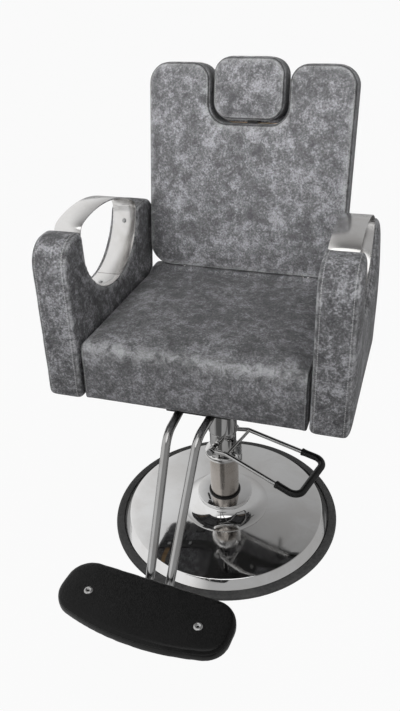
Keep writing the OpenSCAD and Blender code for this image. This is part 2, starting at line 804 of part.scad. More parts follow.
module seat_cushion() {
    tail_end = seat_back + seat_tail;
    outline = rounded([[-seat_half, -seat_front, seat_corner_r], [seat_half, -seat_front, seat_corner_r],
        [seat_half, tail_end, seat_corner_r], [-seat_half, tail_end, seat_corner_r]]);
    under_back = function (p) [p.x, min(p.y, seat_back) + max(0, p.y - seat_back) * tail_share(p.z), p.z];
    spine = [[-seat_half / 2, (seat_back - seat_front) / 2], [seat_half / 2, (seat_back - seat_front) / 2]];
    color("gray") seat_frame() difference() {
        cushion_form(outline, spine, edge_rings(0, seat_t, seat_foot_r, seat_edge_r, seat_waist, seat_crown), under_back);
        seat_board_shape(soft_gap);
        both_sides() translate([tail_slot_x, seat_back + 4 * cut, -cut])
            cube([tail_slot_w, seat_tail + cut, seat_t + seat_crown + 2 * cut]);
    }
}

// Arms

// Distance of the steel loop from its middle in direction a: a half ellipse below a wide arch
function loop_reach(a) = let(u = [cos(a), sin(a)], low = 1 / norm([u.x / loop_a, u.y / loop_b]),
    d = arch_mid - loop_mid, k = u * d, high = k + sqrt(k * k - d * d + arch_r * arch_r))
    low * pow(1 + pow(low / high, loop_blend), -1 / loop_blend);
function loop_point(a, out = 0) = loop_mid + (loop_reach(a) + out) * [cos(a), sin(a)];

// Outline of an arm inset by d, in Y and Z of the seat: a chain along the foot and one along the top
arm_slant = atan((arm_top_back - arm_foot_back) / arm_back_h);
function arm_rear(z, d) = [arm_foot_back + z * tan(arm_slant) - d / cos(arm_slant), z];
function arm_top_chain(d) = let(
    a0 = notch_front_a + d * notch_turn_per_mm, a1 = notch_back_a - d * notch_turn_per_mm,
    tip_r = max(arm_tip_r - d, least_r), gap = notch_gap + d, top = arm_front_h - d, back = arm_back_h - d,
    front = -arm_front + d, p0 = loop_point(a0, gap), p1 = loop_point(a1, gap)) concat(
    fillet([front, 0], [front, top], [0, top], arm_front_r - d, arm_corner_steps),
    fillet([front, top], [p0.x, top], p0, tip_r, 2),
    [for (i = [0:notch_steps]) loop_point(a0 + (a1 - a0) * i / notch_steps, gap)],
    fillet(p1, [p1.x, back], [arm_top_back, back], tip_r, 2),
    fillet([0, back], arm_rear(back, d), arm_rear(0, d), arm_back_r - d, arm_corner_steps));
function arm_foot_chain(d) = let(
    r = max(arm_foot_r - d, least_r), front = fillet([-arm_front + d, arm_front_h], [-arm_front + d, d], [0, d],
        r, arm_corner_steps),
    rear = fillet([0, d], arm_rear(d, d), arm_rear(arm_back_h, d), r, arm_corner_steps),
    a = front[arm_corner_steps], b = rear[0], count = notch_steps + 8)
    concat(front, [for (i = [1:count - 1]) a + (b - a) * i / count], rear);

// Closed outline of an arm, with rows of points up its front and rear edges
function row_share(j) = j / (arm_rows + 1);
function arm_loop(d) = let(low = arm_foot_chain(d), top = arm_top_chain(d), e = len(low) - 1) concat(
    low, [for (j = [1:arm_rows]) low[e] + (top[e] - low[e]) * row_share(j)],
    [for (i = [e:-1:0]) top[i]], [for (j = [arm_rows:-1:1]) low[0] + (top[0] - low[0]) * row_share(j)]);

// Distance from the chair's middle of a point of the arm's padding, thinner towards the top
function arm_x(p, x) = let(rise = arm_front_h - loop_z / 3)
    x - arm_taper * pow(max(0, (p.y - loop_z / 3) / rise), 2) * (x - arm_in) / arm_t;

// Padding of an arm: rings of inset and distance, closed by a grid of points on each face
module arm_form(rings) {
    low = arm_foot_chain(arm_edge_r);
    top = arm_top_chain(arm_edge_r);
    c = len(low);
    n = 2 * (c + arm_rows);
    m = len(rings);
    loops = [for (r = rings) for (p = arm_loop(r[0])) [p.x, p.y, arm_x(p, r[1])]];
    grids = [for (k = [0, 1]) for (j = [1:arm_rows]) for (i = [1:c - 2])
        let(f = row_share(j), p = low[i] + (top[i] - low[i]) * f, bulge = 4 * f * (1 - f) * arm_crown)
        [p.x, p.y, k == 0 ? rings[0][1] : arm_x(p, rings[m - 1][1] + bulge)]];
    at = function (k, j, i) let(first = k * (m - 1) * n)
        j == 0 ? first + i : j > arm_rows ? first + n - arm_rows - 1 - i
        : i == 0 ? first + n - j : i == c - 1 ? first + c + j - 1
        : m * n + (k * arm_rows + j - 1) * (c - 2) + i - 1;
    sides = [for (k = [0:m - 2]) for (i = [0:n - 1]) let(
        a = k * n + i, b = k * n + (i + 1) % n) each [[a, a + n, b + n], [a, b + n, b]]];
    faces = [for (j = [0:arm_rows]) for (i = [0:c - 2]) each [
        [at(0, j, i), at(0, j + 1, i + 1), at(0, j + 1, i)], [at(0, j, i), at(0, j, i + 1), at(0, j + 1, i + 1)],
        [at(1, j, i), at(1, j + 1, i), at(1, j + 1, i + 1)], [at(1, j, i), at(1, j + 1, i + 1), at(1, j, i + 1)]]];
    polyhedron(concat(loops, grids), concat(sides, faces), convexity = 6);
}

// Put an outline of Y and Z upright, with heights running along X
module along_x() { rotate([90, 0, 90]) children(); }

module arm_core_shape(gap) {
    along_x() translate([0, 0, arm_core_x - gap]) linear_extrude(arm_core_t + 2 * gap) {
        polygon(arm_loop(arm_core_inset - gap));
        translate([-arm_front * 0.8 - gap, soft_gap - 2 * gap])
            square([arm_front * 0.8 + arm_foot_back * 0.85 + 2 * gap, 2 * arm_core_inset]);
    }
}

module screw_places() {
    for (a = screw_angles) let(p = loop_point(a, -band_t), t = loop_point(a + 1) - loop_point(a - 1))
        translate([band_x + band_w / 2, p.x, p.y]) rotate([atan2(t.y, t.x) - 180, 0, 0]) children();
}

module arm_cores() {
    color("burlywood") seat_frame() both_sides() difference() {
        arm_core_shape(0);
        screw_places() cylinder(r = screw_r + still_gap, h = screw_l + side_gap);
        rail_bolt_places(1) cylinder(r = bolt_r + still_gap, h = 4 * bolt_bite, center = true);
    }
}

module arm_pad() {
    rings = edge_rings(arm_in, arm_out, arm_edge_r, arm_edge_r, arm_waist, 0);
    color("gray") seat_frame() difference() {
        along_x() arm_form([for (i = [1:len(rings) - 3]) [rings[i][0], rings[i][2]]]);
        arm_core_shape(soft_gap);
        screw_places() cylinder(r = screw_r + soft_gap, h = screw_l + side_gap);
    }
}

module arm_pad_left() { mirror([1, 0, 0]) arm_pad(); }
module arm_pad_right() { arm_pad(); }

module arm_band() {
    steps = [for (i = [0:loop_steps - 1]) 360 * i / loop_steps];
    color("silver") seat_frame() difference() {
        along_x() translate([0, 0, band_x]) linear_extrude(band_w) difference() {
            polygon([for (a = steps) loop_point(a)]);
            polygon([for (a = steps) loop_point(a, -band_t)]);
        }
        screw_places() translate([0, 0, -band_t]) cylinder(r = screw_r + still_gap, h = 3 * band_t);
    }
}

module arm_band_left() { mirror([1, 0, 0]) arm_band(); }
module arm_band_right() { arm_band(); }

module band_screws() {
    color("silver") seat_frame() both_sides() screw_places() {
        translate([0, 0, -soft_gap - cut]) cylinder(r = screw_r, h = screw_l + cut);
        translate([0, 0, -screw_head_h - soft_gap]) cylinder(r1 = screw_head_r * 0.6, r2 = screw_head_r, h = screw_head_h);
    }
}

// Cross rails that carry the arms

module rail_bolt_places(i) {
    for (y = rail_ys) for (s = [-1, 1]) translate([s * rail_bolt_xs[i], y, 0]) children();
}

module arm_rails() {
    color("dimgray") seat_frame() difference() {
        for (y = rail_ys) translate([-rail_half, y - rail_w / 2, -rail_t]) cube([2 * rail_half, rail_w, rail_t]);
        for (i = [0, 1]) rail_bolt_places(i) cylinder(r = bolt_r + still_gap, h = 3 * rail_t, center = true);
    }
}

module rail_bolts() {
    color("silver") seat_frame() for (i = [0, 1]) rail_bolt_places(i) translate([0, 0, -rail_t])
        hex_bolt(bolt_r, rail_t + bolt_bite * (i + 1), bolt_head_r, bolt_head_h);
}

// Footrest

// Middle line of a footrest bar in the seat's frame: under the seat, down, and under the board
foot_bend_y = -seat_front - foot_lead;
foot_drop = foot_slope + rake;
foot_low = [foot_low_half, foot_bend_y - foot_leg * cos(foot_drop), foot_bar_z - foot_leg * sin(foot_drop)];
foot_line = [[foot_bend_half + (foot_bend_half - foot_low_half) * foot_tail / foot_leg,
    foot_bend_y + foot_tail, foot_bar_z], [foot_bend_half, foot_bend_y, foot_bar_z], foot_low,
    foot_low + foot_run * [0, -cos(rake), -sin(rake)]];

module footrest_bar() {
    color("silver") seat_frame() bent_rod(foot_line, foot_bar_r, foot_bend_r);
}
module footrest_bar_left() { mirror([1, 0, 0]) footrest_bar(); }
module footrest_bar_right() { footrest_bar(); }

// Saddle block that clamps both bars up against the seat board
module footrest_saddle() {
    h = 2 * foot_bar_r + rail_t + 2 * soft_gap + saddle_wall;
    color("dimgray") seat_frame() difference() {
        translate([-saddle_half, saddle_y - saddle_w / 2, -h]) cube([2 * saddle_half, saddle_w, h]);
        both_sides() strut(foot_line[0] + [0, cut, 0], foot_line[1], foot_bar_r + still_gap);
    }
}

// Frame on the footrest board's top face, level with the floor
module board_frame() {
    seat_frame() translate([0, foot_low.y, foot_low.z]) rotate([rake, 0, 0])
        translate([foot_shift, -foot_set, foot_bar_r + strap_t + foot_t]) children();
}

module footrest_strap() {
    color("dimgray") board_frame() difference() {
        translate([-strap_half, foot_bolt_y - strap_depth, -foot_t - strap_t])
            cube([2 * strap_half, 2 * strap_depth, strap_t]);
        foot_bolt_places() cylinder(r = foot_bolt_r + still_gap, h = 3 * foot_t, center = true);
    }
}

module foot_bolt_places() {
    for (s = [-1, 1]) rotate([0, 0, foot_twist]) translate([s * foot_bolt_half, foot_bolt_y, 0]) children();
}

module footrest_board() {
    outline = rounded([[-foot_half, -foot_depth, foot_corner_r], [0, -foot_depth - foot_belly, foot_belly_r],
        [foot_half, -foot_depth, foot_corner_r], [foot_half, foot_depth, foot_corner_r],
        [-foot_half, foot_depth, foot_corner_r]], 8);
    spine = [[-foot_half * 0.6, 0], [foot_half * 0.6, 0]];
    color("#1b1b1b") board_frame() difference() {
        rotate([0, 0, foot_twist]) cushion_form(outline, spine,
            edge_rings(-foot_t, -foot_crown, foot_edge_r / 2, foot_edge_r, 0, foot_crown));
        foot_bolt_places() cylinder(r = foot_bolt_r + soft_gap, h = 3 * foot_t, center = true);
    }
}

module footrest_bolts() {
    color("silver") board_frame() foot_bolt_places() {
        translate([0, 0, soft_gap]) cylinder(r1 = foot_bolt_head_r, r2 = foot_bolt_head_r * 0.7, h = foot_bolt_head_h);
        translate([0, 0, -foot_t - strap_t - nut_h - cut]) cylinder(r = foot_bolt_r, h = foot_t + strap_t + nut_h + 2 * cut);
        translate([0, 0, -foot_t - strap_t - nut_h]) cylinder(r = nut_r, h = nut_h, $fn = 6);
    }
}

// Recliner on the seat's side

module bracket_plate_shape() {
    lock_y = pivot_y + slot_r * sin(slot_start + rake);
    lock_z = pivot_up - slot_r * cos(slot_start + rake);
    front = seat_back + bracket_clear;
    foot = seat_back - bracket_foot_l;
    foot_top = -bracket_drop / 5;
    difference() {
        union() {
            polygon([[foot, foot_top], [foot, -bracket_drop / 2], [foot + bracket_clear, -bracket_drop],
                [pivot_y - bracket_clear, -bracket_drop], [pivot_y + bracket_eye_r * 0.7, 0],
                [pivot_y + bracket_eye_r * 0.97, pivot_up - bracket_clear],
                [pivot_y - bracket_eye_r * 0.8, pivot_up + bracket_eye_r * 0.6], [front, pivot_up], [front, foot_top]]);
            translate([pivot_y, pivot_up]) circle(r = bracket_eye_r);
            translate([lock_y, lock_z]) circle(r = bracket_eye_r * 0.7);
        }
        translate([pivot_y, pivot_up]) circle(r = pin_r + still_gap);
        translate([lock_y, lock_z]) circle(r = lock_r + still_gap);
    }
}

module hinge_brackets() {
    foot_z = -bracket_drop / 5;
    color("dimgray") seat_frame() both_sides() {
        along_x() translate([0, 0, bracket_x]) linear_extrude(hinge_t) bracket_plate_shape();
        translate([bracket_x, seat_back - bracket_foot_l, foot_z]) cube([bracket_foot_w, bracket_foot_l, -foot_z]);
    }
}

module hinge_washers() {
    color("white") seat_frame() both_sides() translate([hinge_x + hinge_t, pivot_y, pivot_up]) rotate([0, 90, 0])
        difference() {
            cylinder(r = bracket_eye_r * 0.6, h = hinge_washer_t);
            translate([0, 0, -cut]) cylinder(r = pin_r + run_gap, h = hinge_washer_t + 2 * cut);
        }
}

module pivot_bolts() {
    color("silver") seat_frame() both_sides() translate([bracket_x + hinge_t, pivot_y, pivot_up]) rotate([0, -90, 0]) {
        hex_bolt(pin_r, 2 * hinge_t + hinge_washer_t + side_gap + pin_head_h, pin_head_r, pin_head_h);
        translate([0, 0, 2 * hinge_t + hinge_washer_t + side_gap]) cylinder(r = pin_head_r, h = pin_head_h, $fn = 6);
    }
}

// Frame on the lock bolt, outside the left bracket, with +Z pointing away from the chair's middle
module lock_frame() {
    seat_frame() translate([-bracket_x - hinge_t, pivot_y, pivot_up]) rotate([slot_start + rake, 0, 0])
        translate([0, 0, -slot_r]) rotate([0, -90, 0]) children();
}

module lock_bolt() {
    inner = 2 * hinge_t + hinge_washer_t + side_gap;
    color("silver") lock_frame() {
        translate([0, 0, -inner - lock_head_h]) cylinder(r = 2 * lock_r, h = lock_head_h);
        translate([0, 0, -inner - cut]) cylinder(r = lock_r, h = inner + cut + handle_hub_h + 2 * side_gap + lock_head_h);
        translate([0, 0, handle_hub_h + 2 * side_gap]) cylinder(r = 1.6 * lock_r, h = lock_head_h, $fn = 6);
    }
}

module lock_handle() {
    color("silver") lock_frame() difference() {
        union() {
            translate([0, 0, side_gap]) cylinder(r = handle_hub_r, h = handle_hub_h);
            translate([0, 0, side_gap + handle_hub_h / 2]) rotate([90, 0, -90]) cylinder(r = handle_r, h = handle_l);
        }
        cylinder(r = lock_r + run_gap, h = 2 * handle_hub_h);
    }
}

module lock_grip() {
    bore = handle_r + still_gap;
    color("#181818") lock_frame() translate([0, 0, side_gap + handle_hub_h / 2]) rotate([90, 0, -90])
        translate([0, 0, handle_l - handle_grip_l]) rotate_extrude() polygon([
            [bore, 0], [handle_grip_r * 0.8, 0], [handle_grip_r, handle_grip_l * 0.7], [handle_grip_r, handle_grip_l],
            [handle_grip_r * 0.75, handle_grip_l + handle_r], [0, handle_grip_l + handle_r],
            [0, handle_grip_l + side_gap], [bore, handle_grip_l + side_gap]]);
}

// Back

// Outline of the back with the floor of its notch at height z, with corners of radius r there
function back_outline_to(z, r) = rounded([[-back_half, 0, back_low_r], [back_half, 0, back_low_r],
    [back_half, back_h, back_high_r], [notch_half, back_h, back_notch_r], [notch_half, z, r],
    [-notch_half, z, r], [-notch_half, back_h, back_notch_r], [-back_half, back_h, back_high_r]], 6);
back_outline = back_outline_to(notch_z, back_notch_r);

// Stand an outline of X and Z upright, with heights running from the front face to the rear
module from_front() { rotate([90, 0, 0]) mirror([0, 0, 1]) children(); }

// Steel arms in the back's frame: pivot, web and flange
pivot_b = let(y = pivot_y - back_foot_y, z = pivot_up - back_foot_z)
    [y * cos(back_lean) - z * sin(back_lean), y * sin(back_lean) + z * cos(back_lean)];

module steel_web_shape(gap) {
    difference() {
        union() {
            translate([board_y + soft_gap - gap, 0]) square([back_board_t - soft_gap + gap, steel_rise + gap]);
            polygon([[board_y + soft_gap - gap, cut], [back_cushion_t, cut],
                [pivot_b.x + steel_eye_r * 0.94, pivot_b.y + steel_eye_r * 0.34],
                [pivot_b.x - steel_eye_r * 0.5, pivot_b.y + steel_eye_r * 0.86]]);
            translate(pivot_b) circle(r = steel_eye_r);
        }
        translate(pivot_b) circle(r = pin_r + run_gap);
    }
}

module steel_flange_shape(gap) {
    translate([hinge_x - gap, back_cushion_t - steel_flange_t - gap, back_low_r / 2 - gap])
        cube([steel_flange_w + 2 * gap, steel_flange_t + gap * 2, steel_rise - back_low_r / 2 + 2 * gap]);
}

module back_steel(x0 = hinge_x) {
    along_x() translate([0, 0, x0]) linear_extrude(hinge_t) steel_web_shape(0);
    steel_flange_shape(0);
}

module back_steel_right() { color("dimgray") back_frame() back_steel(); }

// Points on an arc about c
function arc_points(c, r, a0, a1, n) = [for (i = [0:n]) let(a = a0 + (a1 - a0) * i / n) c + r * [cos(a), sin(a)]];

// Slot along an arc about c, with round ends
function arc_slot(c, r, half, a0, a1, n) = concat(
    arc_points(c, r + half, a0, a1, n), arc_points(c + r * [cos(a1), sin(a1)], half, a1, a1 + 180, n / 2),
    arc_points(c, r - half, a1, a0, n), arc_points(c + r * [cos(a0), sin(a0)], half, a0 + 180, a0 + 360, n / 2));

// The left arm also carries the slotted sector that the lock bolt clamps
module back_steel_left() {
    a0 = slot_start + rake + back_lean - 90;
    side = asin(sector_side / slot_r);
    color("dimgray") back_frame() mirror([1, 0, 0]) {
        along_x() translate([0, 0, hinge_x]) linear_extrude(hinge_t) difference() {
            union() {
                steel_web_shape(0);
                polygon(concat(arc_points(pivot_b, steel_eye_r - cut, a0 - side, a0 + recline_max + side, 16),
                    arc_points(pivot_b, sector_out, a0 + recline_max + side, a0 - side, 16)));
            }
            polygon(arc_slot(pivot_b, slot_r, lock_r + soft_gap, a0, a0 + recline_max, 16));
        }
        steel_flange_shape(0);
    }
}

module back_board() {
    color("burlywood") back_frame() difference() {
        translate([0, board_y, 0]) from_front() linear_extrude(back_board_t - still_gap)
            polygon([for (p = back_outline) drawn_in(p, back_spine, board_inset, 0)]);
        both_sides() {
            along_x() translate([0, 0, hinge_x - soft_gap]) linear_extrude(hinge_t + 2 * soft_gap)
                translate([0, -steel_rise]) square([back_t, 2 * steel_rise + soft_gap]);
            steel_flange_shape(soft_gap);
        }
    }
}

module back_cushion() {
    rings = edge_rings(-back_cushion_t, 0, back_rear_r, back_edge_r, back_waist, back_crown);
    color("gray") back_frame() difference() {
        rotate([90, 0, 0]) cushion_form(back_outline, back_spine, rings);
        translate([0, board_y - soft_gap, 0]) from_front() linear_extrude(back_board_t + cut)
            polygon([for (p = back_outline) drawn_in(p, back_spine, board_inset - soft_gap, 0)]);
        both_sides() translate([hinge_x - soft_gap, board_y - soft_gap, -cut])
            cube([hinge_t + 2 * soft_gap, back_board_t + cut, 2 * board_inset]);
        translate([-bar_half - guide_wall - soft_gap * 2, bar_y - guide_wall - soft_gap * 2, guide_top_z - guide_h - bar_l / 8])
            cube([2 * (bar_half + guide_wall + soft_gap * 2), board_y - bar_y + guide_wall + cut, back_h]);
    }
}

// The rear panel closes the lower part of the notch behind the headrest
module rear_panel() {
    outline = [for (p = back_outline_to(panel_notch_z, panel_notch_r)) drawn_in(p, back_spine, rear_inset, 0)];
    color("gray") back_frame() translate([0, back_cushion_t, 0]) from_front() linear_extrude(rear_panel_t)
        polygon(outline);
}

// Headrest

module headrest_guide() {
    half = bar_half + soft_gap;
    color("dimgray") back_frame() difference() {
        translate([-half - guide_wall, bar_y - guide_wall, guide_top_z - guide_h])
            cube([2 * (half + guide_wall), board_y - bar_y + guide_wall, guide_h]);
        translate([-half, bar_y - soft_gap, guide_top_z - guide_h - cut])
            cube([2 * half, bar_t + 2 * soft_gap, guide_h + 2 * cut]);
    }
}

module headrest_bar() {
    color("silver") back_frame() translate([-bar_half, bar_y, bar_top_z - bar_l]) cube([2 * bar_half, bar_t, bar_l]);
}

module headrest_board() {
    color("burlywood") back_frame() translate([-head_board_half, bar_y + bar_t, bar_top_z - head_board_h + 2 * cut])
        cube([2 * head_board_half, head_board_t, head_board_h]);
}

module headrest_pad() {
    outline = rounded([[-head_half, head_z0, head_pad_r], [head_half, head_z0, head_pad_r],
        [head_half, head_z0 + head_pad_h, head_pad_r], [-head_half, head_z0 + head_pad_h, head_pad_r]]);
    spine = [[-head_half / 2, head_z0 + head_pad_h / 2], [head_half / 2, head_z0 + head_pad_h / 2]];
    rings = edge_rings(head_proud - head_pad_t, head_proud, head_edge_r / 2, head_edge_r, back_waist, head_crown);
    color("gray") back_frame() difference() {
        rotate([90, 0, 0]) cushion_form(outline, spine, rings);
        translate([-bar_half - soft_gap, bar_y - soft_gap, head_z0 - cut])
            cube([2 * (bar_half + soft_gap), bar_t + 2 * soft_gap, bar_top_z - head_z0 + cut + soft_gap]);
        translate([-head_board_half - soft_gap, bar_y + bar_t - soft_gap, bar_top_z - head_board_h + 2 * cut - soft_gap])
            cube([2 * (head_board_half + soft_gap), head_board_t + 2 * soft_gap, head_board_h + 2 * soft_gap]);
    }
}

ballast_plate();
base_cover();
base_rim();
base_bell();
column_seal();
pump_flange();
flange_bolts();
pump_tube();
oil_cylinder();
pump_head();
head_collar();
rod_bush();
rod_seal();
lever_studs();
plunger_spring();
piston_rod();
piston();
thrust_collar();
pump_plunger();
pump_lever();
lever_grip();
seat_hub();
thrust_washer();
column_shroud();
mounting_plate();
mounting_bolts();
seat_board();
seat_cushion();
arm_rails();
rail_bolts();
arm_cores();
arm_pad_left();
arm_pad_right();
arm_band_left();
arm_band_right();
band_screws();
footrest_bar_left();
footrest_bar_right();
footrest_saddle();
footrest_strap();
footrest_board();
footrest_bolts();
hinge_brackets();
hinge_washers();
pivot_bolts();
lock_bolt();
lock_handle();
lock_grip();
back_board();
back_cushion();
rear_panel();
back_steel_left();
back_steel_right();
headrest_guide();
headrest_bar();
headrest_board();
headrest_pad();
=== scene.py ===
"""Threading chair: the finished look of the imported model, its studio and its camera.

Sizes are in millimetres in the classes below. Each sub-assembly is modelled flat or upright in its own frame, and the
frame's matrix then places the mesh, in metres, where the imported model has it.
"""

import logging
import math
from collections.abc import Callable, Iterator, Mapping, Sequence
from contextlib import contextmanager
from dataclasses import dataclass, field
from enum import Enum
from functools import cached_property
from typing import Any

import bmesh
import bpy
import numpy as np
from mathutils import Matrix, Vector


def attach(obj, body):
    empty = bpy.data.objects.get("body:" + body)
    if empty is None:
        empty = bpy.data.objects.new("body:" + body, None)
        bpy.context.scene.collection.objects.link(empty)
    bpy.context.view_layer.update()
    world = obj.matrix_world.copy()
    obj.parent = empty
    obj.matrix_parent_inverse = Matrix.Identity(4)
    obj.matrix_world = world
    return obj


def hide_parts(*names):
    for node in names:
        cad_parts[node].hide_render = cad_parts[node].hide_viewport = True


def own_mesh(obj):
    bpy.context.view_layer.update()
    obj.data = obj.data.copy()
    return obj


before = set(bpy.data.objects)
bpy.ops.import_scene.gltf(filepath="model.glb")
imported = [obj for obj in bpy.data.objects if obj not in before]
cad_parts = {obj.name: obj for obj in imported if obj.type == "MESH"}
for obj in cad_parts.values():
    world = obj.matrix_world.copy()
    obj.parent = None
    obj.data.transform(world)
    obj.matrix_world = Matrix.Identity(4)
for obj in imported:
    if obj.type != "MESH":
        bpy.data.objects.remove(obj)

log = logging.getLogger("threading_chair")
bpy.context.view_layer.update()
MM = 0.001
WELD = 0.002
FAR = 20.0
EDGE_SEAM = 3.6

Point = tuple[float, float]
Spot = tuple[float, float, float]
Colour = tuple[float, float, float]


# Frames


def slide(x: float = 0, y: float = 0, z: float = 0) -> Matrix:
    """Matrix that moves by x, y and z."""
    return Matrix.Translation((x, y, z))


def turn(degrees: float, axis: str) -> Matrix:
    """Matrix that turns by an angle about an axis through the origin."""
    return Matrix.Rotation(math.radians(degrees), 4, axis)


METRES = Matrix.Scale(MM, 4)
UPRIGHT = Matrix(((1, 0, 0, 0), (0, 0, -1, 0), (0, 1, 0, 0), (0, 0, 0, 1)))
SIDEWAYS = Matrix(((0, 0, 1, 0), (1, 0, 0, 0), (0, 1, 0, 0), (0, 0, 0, 1)))
MIRROR = Matrix.Scale(-1, 4, (1, 0, 0))
RAKE = 3.3
SEAT_FRAME = METRES @ slide(z=488.3) @ turn(-RAKE, "X")
BACK_FRAME = SEAT_FRAME @ slide(y=196.8, z=158.8) @ turn(-8.6, "X")
LEVER_FRAME = METRES @ turn(-15.4, "Z") @ slide(z=258)


class Hand(Enum):
    """Side of the chair, as seen by the person who sits in it facing the camera."""

    LEFT = -1
    RIGHT = 1

    @property
    def matrix(self) -> Matrix:
        """Matrix that puts a piece modelled on the right on this side."""
        return MIRROR if self is Hand.LEFT else Matrix.Identity(4)

    @property
    def word(self) -> str:
        """Ending of the names of this side's pieces."""
        return self.name.lower()


class Part(Enum):
    """Kind of element that a pick selects."""

    VERT = "VERT"
    EDGE = "EDGE"
    FACE = "FACE"


# Outlines


def fillet(a: Point, b: Point, c: Point, radius: float, steps: int) -> list[Point]:
    """Round the corner b between a and c.

    Args:
        a: Point before the corner.
        b: The corner.
        c: Point after the corner.
        radius: Radius of the round.
        steps: Number of chords.

    Returns:
        The points of the round, from the side of a to the side of c.
    """
    pa, pb, pc = Vector(a), Vector(b), Vector(c)
    u, v = (pa - pb).normalized(), (pc - pb).normalized()
    half = u.angle(v) / 2
    middle = pb + (u + v).normalized() * radius / math.sin(half)
    first = pb + u * radius / math.tan(half) - middle
    last = pb + v * radius / math.tan(half) - middle
    start = math.atan2(first.y, first.x)
    sweep = math.remainder(math.atan2(last.y, last.x) - start, math.tau)
    angles = [start + sweep * i / steps for i in range(steps + 1)]
    return [(middle.x + radius * math.cos(t), middle.y + radius * math.sin(t)) for t in angles]


def rounded(corners: Sequence[tuple[float, float, float]], steps: int = 12) -> list[Point]:
    """Close an outline through rounded corners.

    Args:
        corners: Each corner's x, y and radius.
        steps: Number of chords in each round.

    Returns:
        The points of the outline.
    """
    count = len(corners)
    line: list[Point] = []
    for i, (x, y, radius) in enumerate(corners):
        line += fillet(corners[i - 1][:2], (x, y), corners[(i + 1) % count][:2], radius, steps)
    return line


def rounded_box(half: float, low: float, high: float, radius: float, steps: int) -> list[Point]:
    """Rectangle about the middle line, from low to high, with its corners rounded."""
    return rounded([(-half, low, radius), (half, low, radius), (half, high, radius), (-half, high, radius)], steps)


def edge_field(points: np.ndarray, outline: Sequence[Point]) -> tuple[np.ndarray, np.ndarray]:
    """Measure points against a closed outline.

    Args:
        points: Array of x and y.
        outline: Corners of the outline.

    Returns:
        Distance inside the outline, negative outside it, and length along the outline of the nearest point.
    """
    a = np.array(outline)
    b = np.roll(a, -1, axis=0)
    d = b - a
    lengths = np.hypot(d[:, 0], d[:, 1])
    starts = np.concatenate([[0.0], np.cumsum(lengths)[:-1]])
    best = np.full(len(points), 1e9)
    along = np.zeros(len(points))
    inside = np.zeros(len(points), bool)
    for i in range(len(a)):
        share = np.clip(((points - a[i]) @ d[i]) / max(lengths[i] ** 2, 1e-9), 0, 1)
        gap = np.hypot(*(points - a[i] - share[:, None] * d[i]).T)
        nearer = gap < best
        best[nearer] = gap[nearer]
        along[nearer] = (starts[i] + share * lengths[i])[nearer]
        crosses = (a[i, 1] > points[:, 1]) != (b[i, 1] > points[:, 1])
        if abs(d[i, 1]) > 1e-9:
            inside ^= crosses & (points[:, 0] < a[i, 0] + d[i, 0] * (points[:, 1] - a[i, 1]) / d[i, 1])
    return np.where(inside, best, -best), along


def smooth_share(x: np.ndarray, low: float, high: float) -> np.ndarray:
    """Smooth step from 0 at low to 1 at high."""
    t = np.clip((x - low) / (high - low), 0, 1)
    return t * t * (3 - 2 * t)


def mesh_points(thing: bpy.types.Object) -> np.ndarray:
    """Read the points of a piece's mesh.

    Args:
        thing: The piece.

    Returns:
        One row for each point.
    """
    points = np.empty(len(thing.data.vertices) * 3)
    thing.data.vertices.foreach_get("co", points)
    return points.reshape(-1, 3)


def move_points(thing: bpy.types.Object, points: np.ndarray) -> None:
    """Move the points of a piece's mesh to the rows given."""
    thing.data.vertices.foreach_set("co", points.ravel())
    thing.data.update()


def keep_seams(thing: bpy.types.Object, along: np.ndarray, across: np.ndarray, wear_and_highlight: np.ndarray) -> None:
    """Store the attribute that the finishes sew by.

    Args:
        thing: The piece.
        along: Length along the seam at each point, in millimetres.
        across: Distance from the seam, in millimetres.
        wear_and_highlight: A share that each finish reads in its own way; leatherette lightens by it, partly as worn
            leather and partly as a painted highlight, and the vinyl's grain and roughness grow with it.
    """
    values = np.stack([along * MM, across * MM, wear_and_highlight], axis=1).astype(np.float32)
    layer = thing.data.attributes.new("seam", "FLOAT_VECTOR", "POINT")
    layer.data.foreach_set("vector", values.ravel())


def bent_line(points: Sequence[Sequence[float]], bend: float, steps: int = 10) -> list[Vector]:
    """Line through points with every corner turned on one radius.

    Args:
        points: Corners of the line, its two ends included.
        bend: Radius of the bends.
        steps: Number of chords in a bend.

    Returns:
        The points of the line.
    """
    corners = [Vector(p) for p in points]
    line = [corners[0]]
    for a, b, c in zip(corners, corners[1:], corners[2:]):
        u, v = (a - b).normalized(), (c - b).normalized()
        half = u.angle(v) / 2
        middle = b + (u + v).normalized() * bend / math.sin(half)
        first = b + u * bend / math.tan(half) - middle
        last = b + v * bend / math.tan(half) - middle
        line += [middle + first.slerp(last, i / steps) * bend for i in range(steps + 1)]
    return line + [corners[-1]]


# Modelling


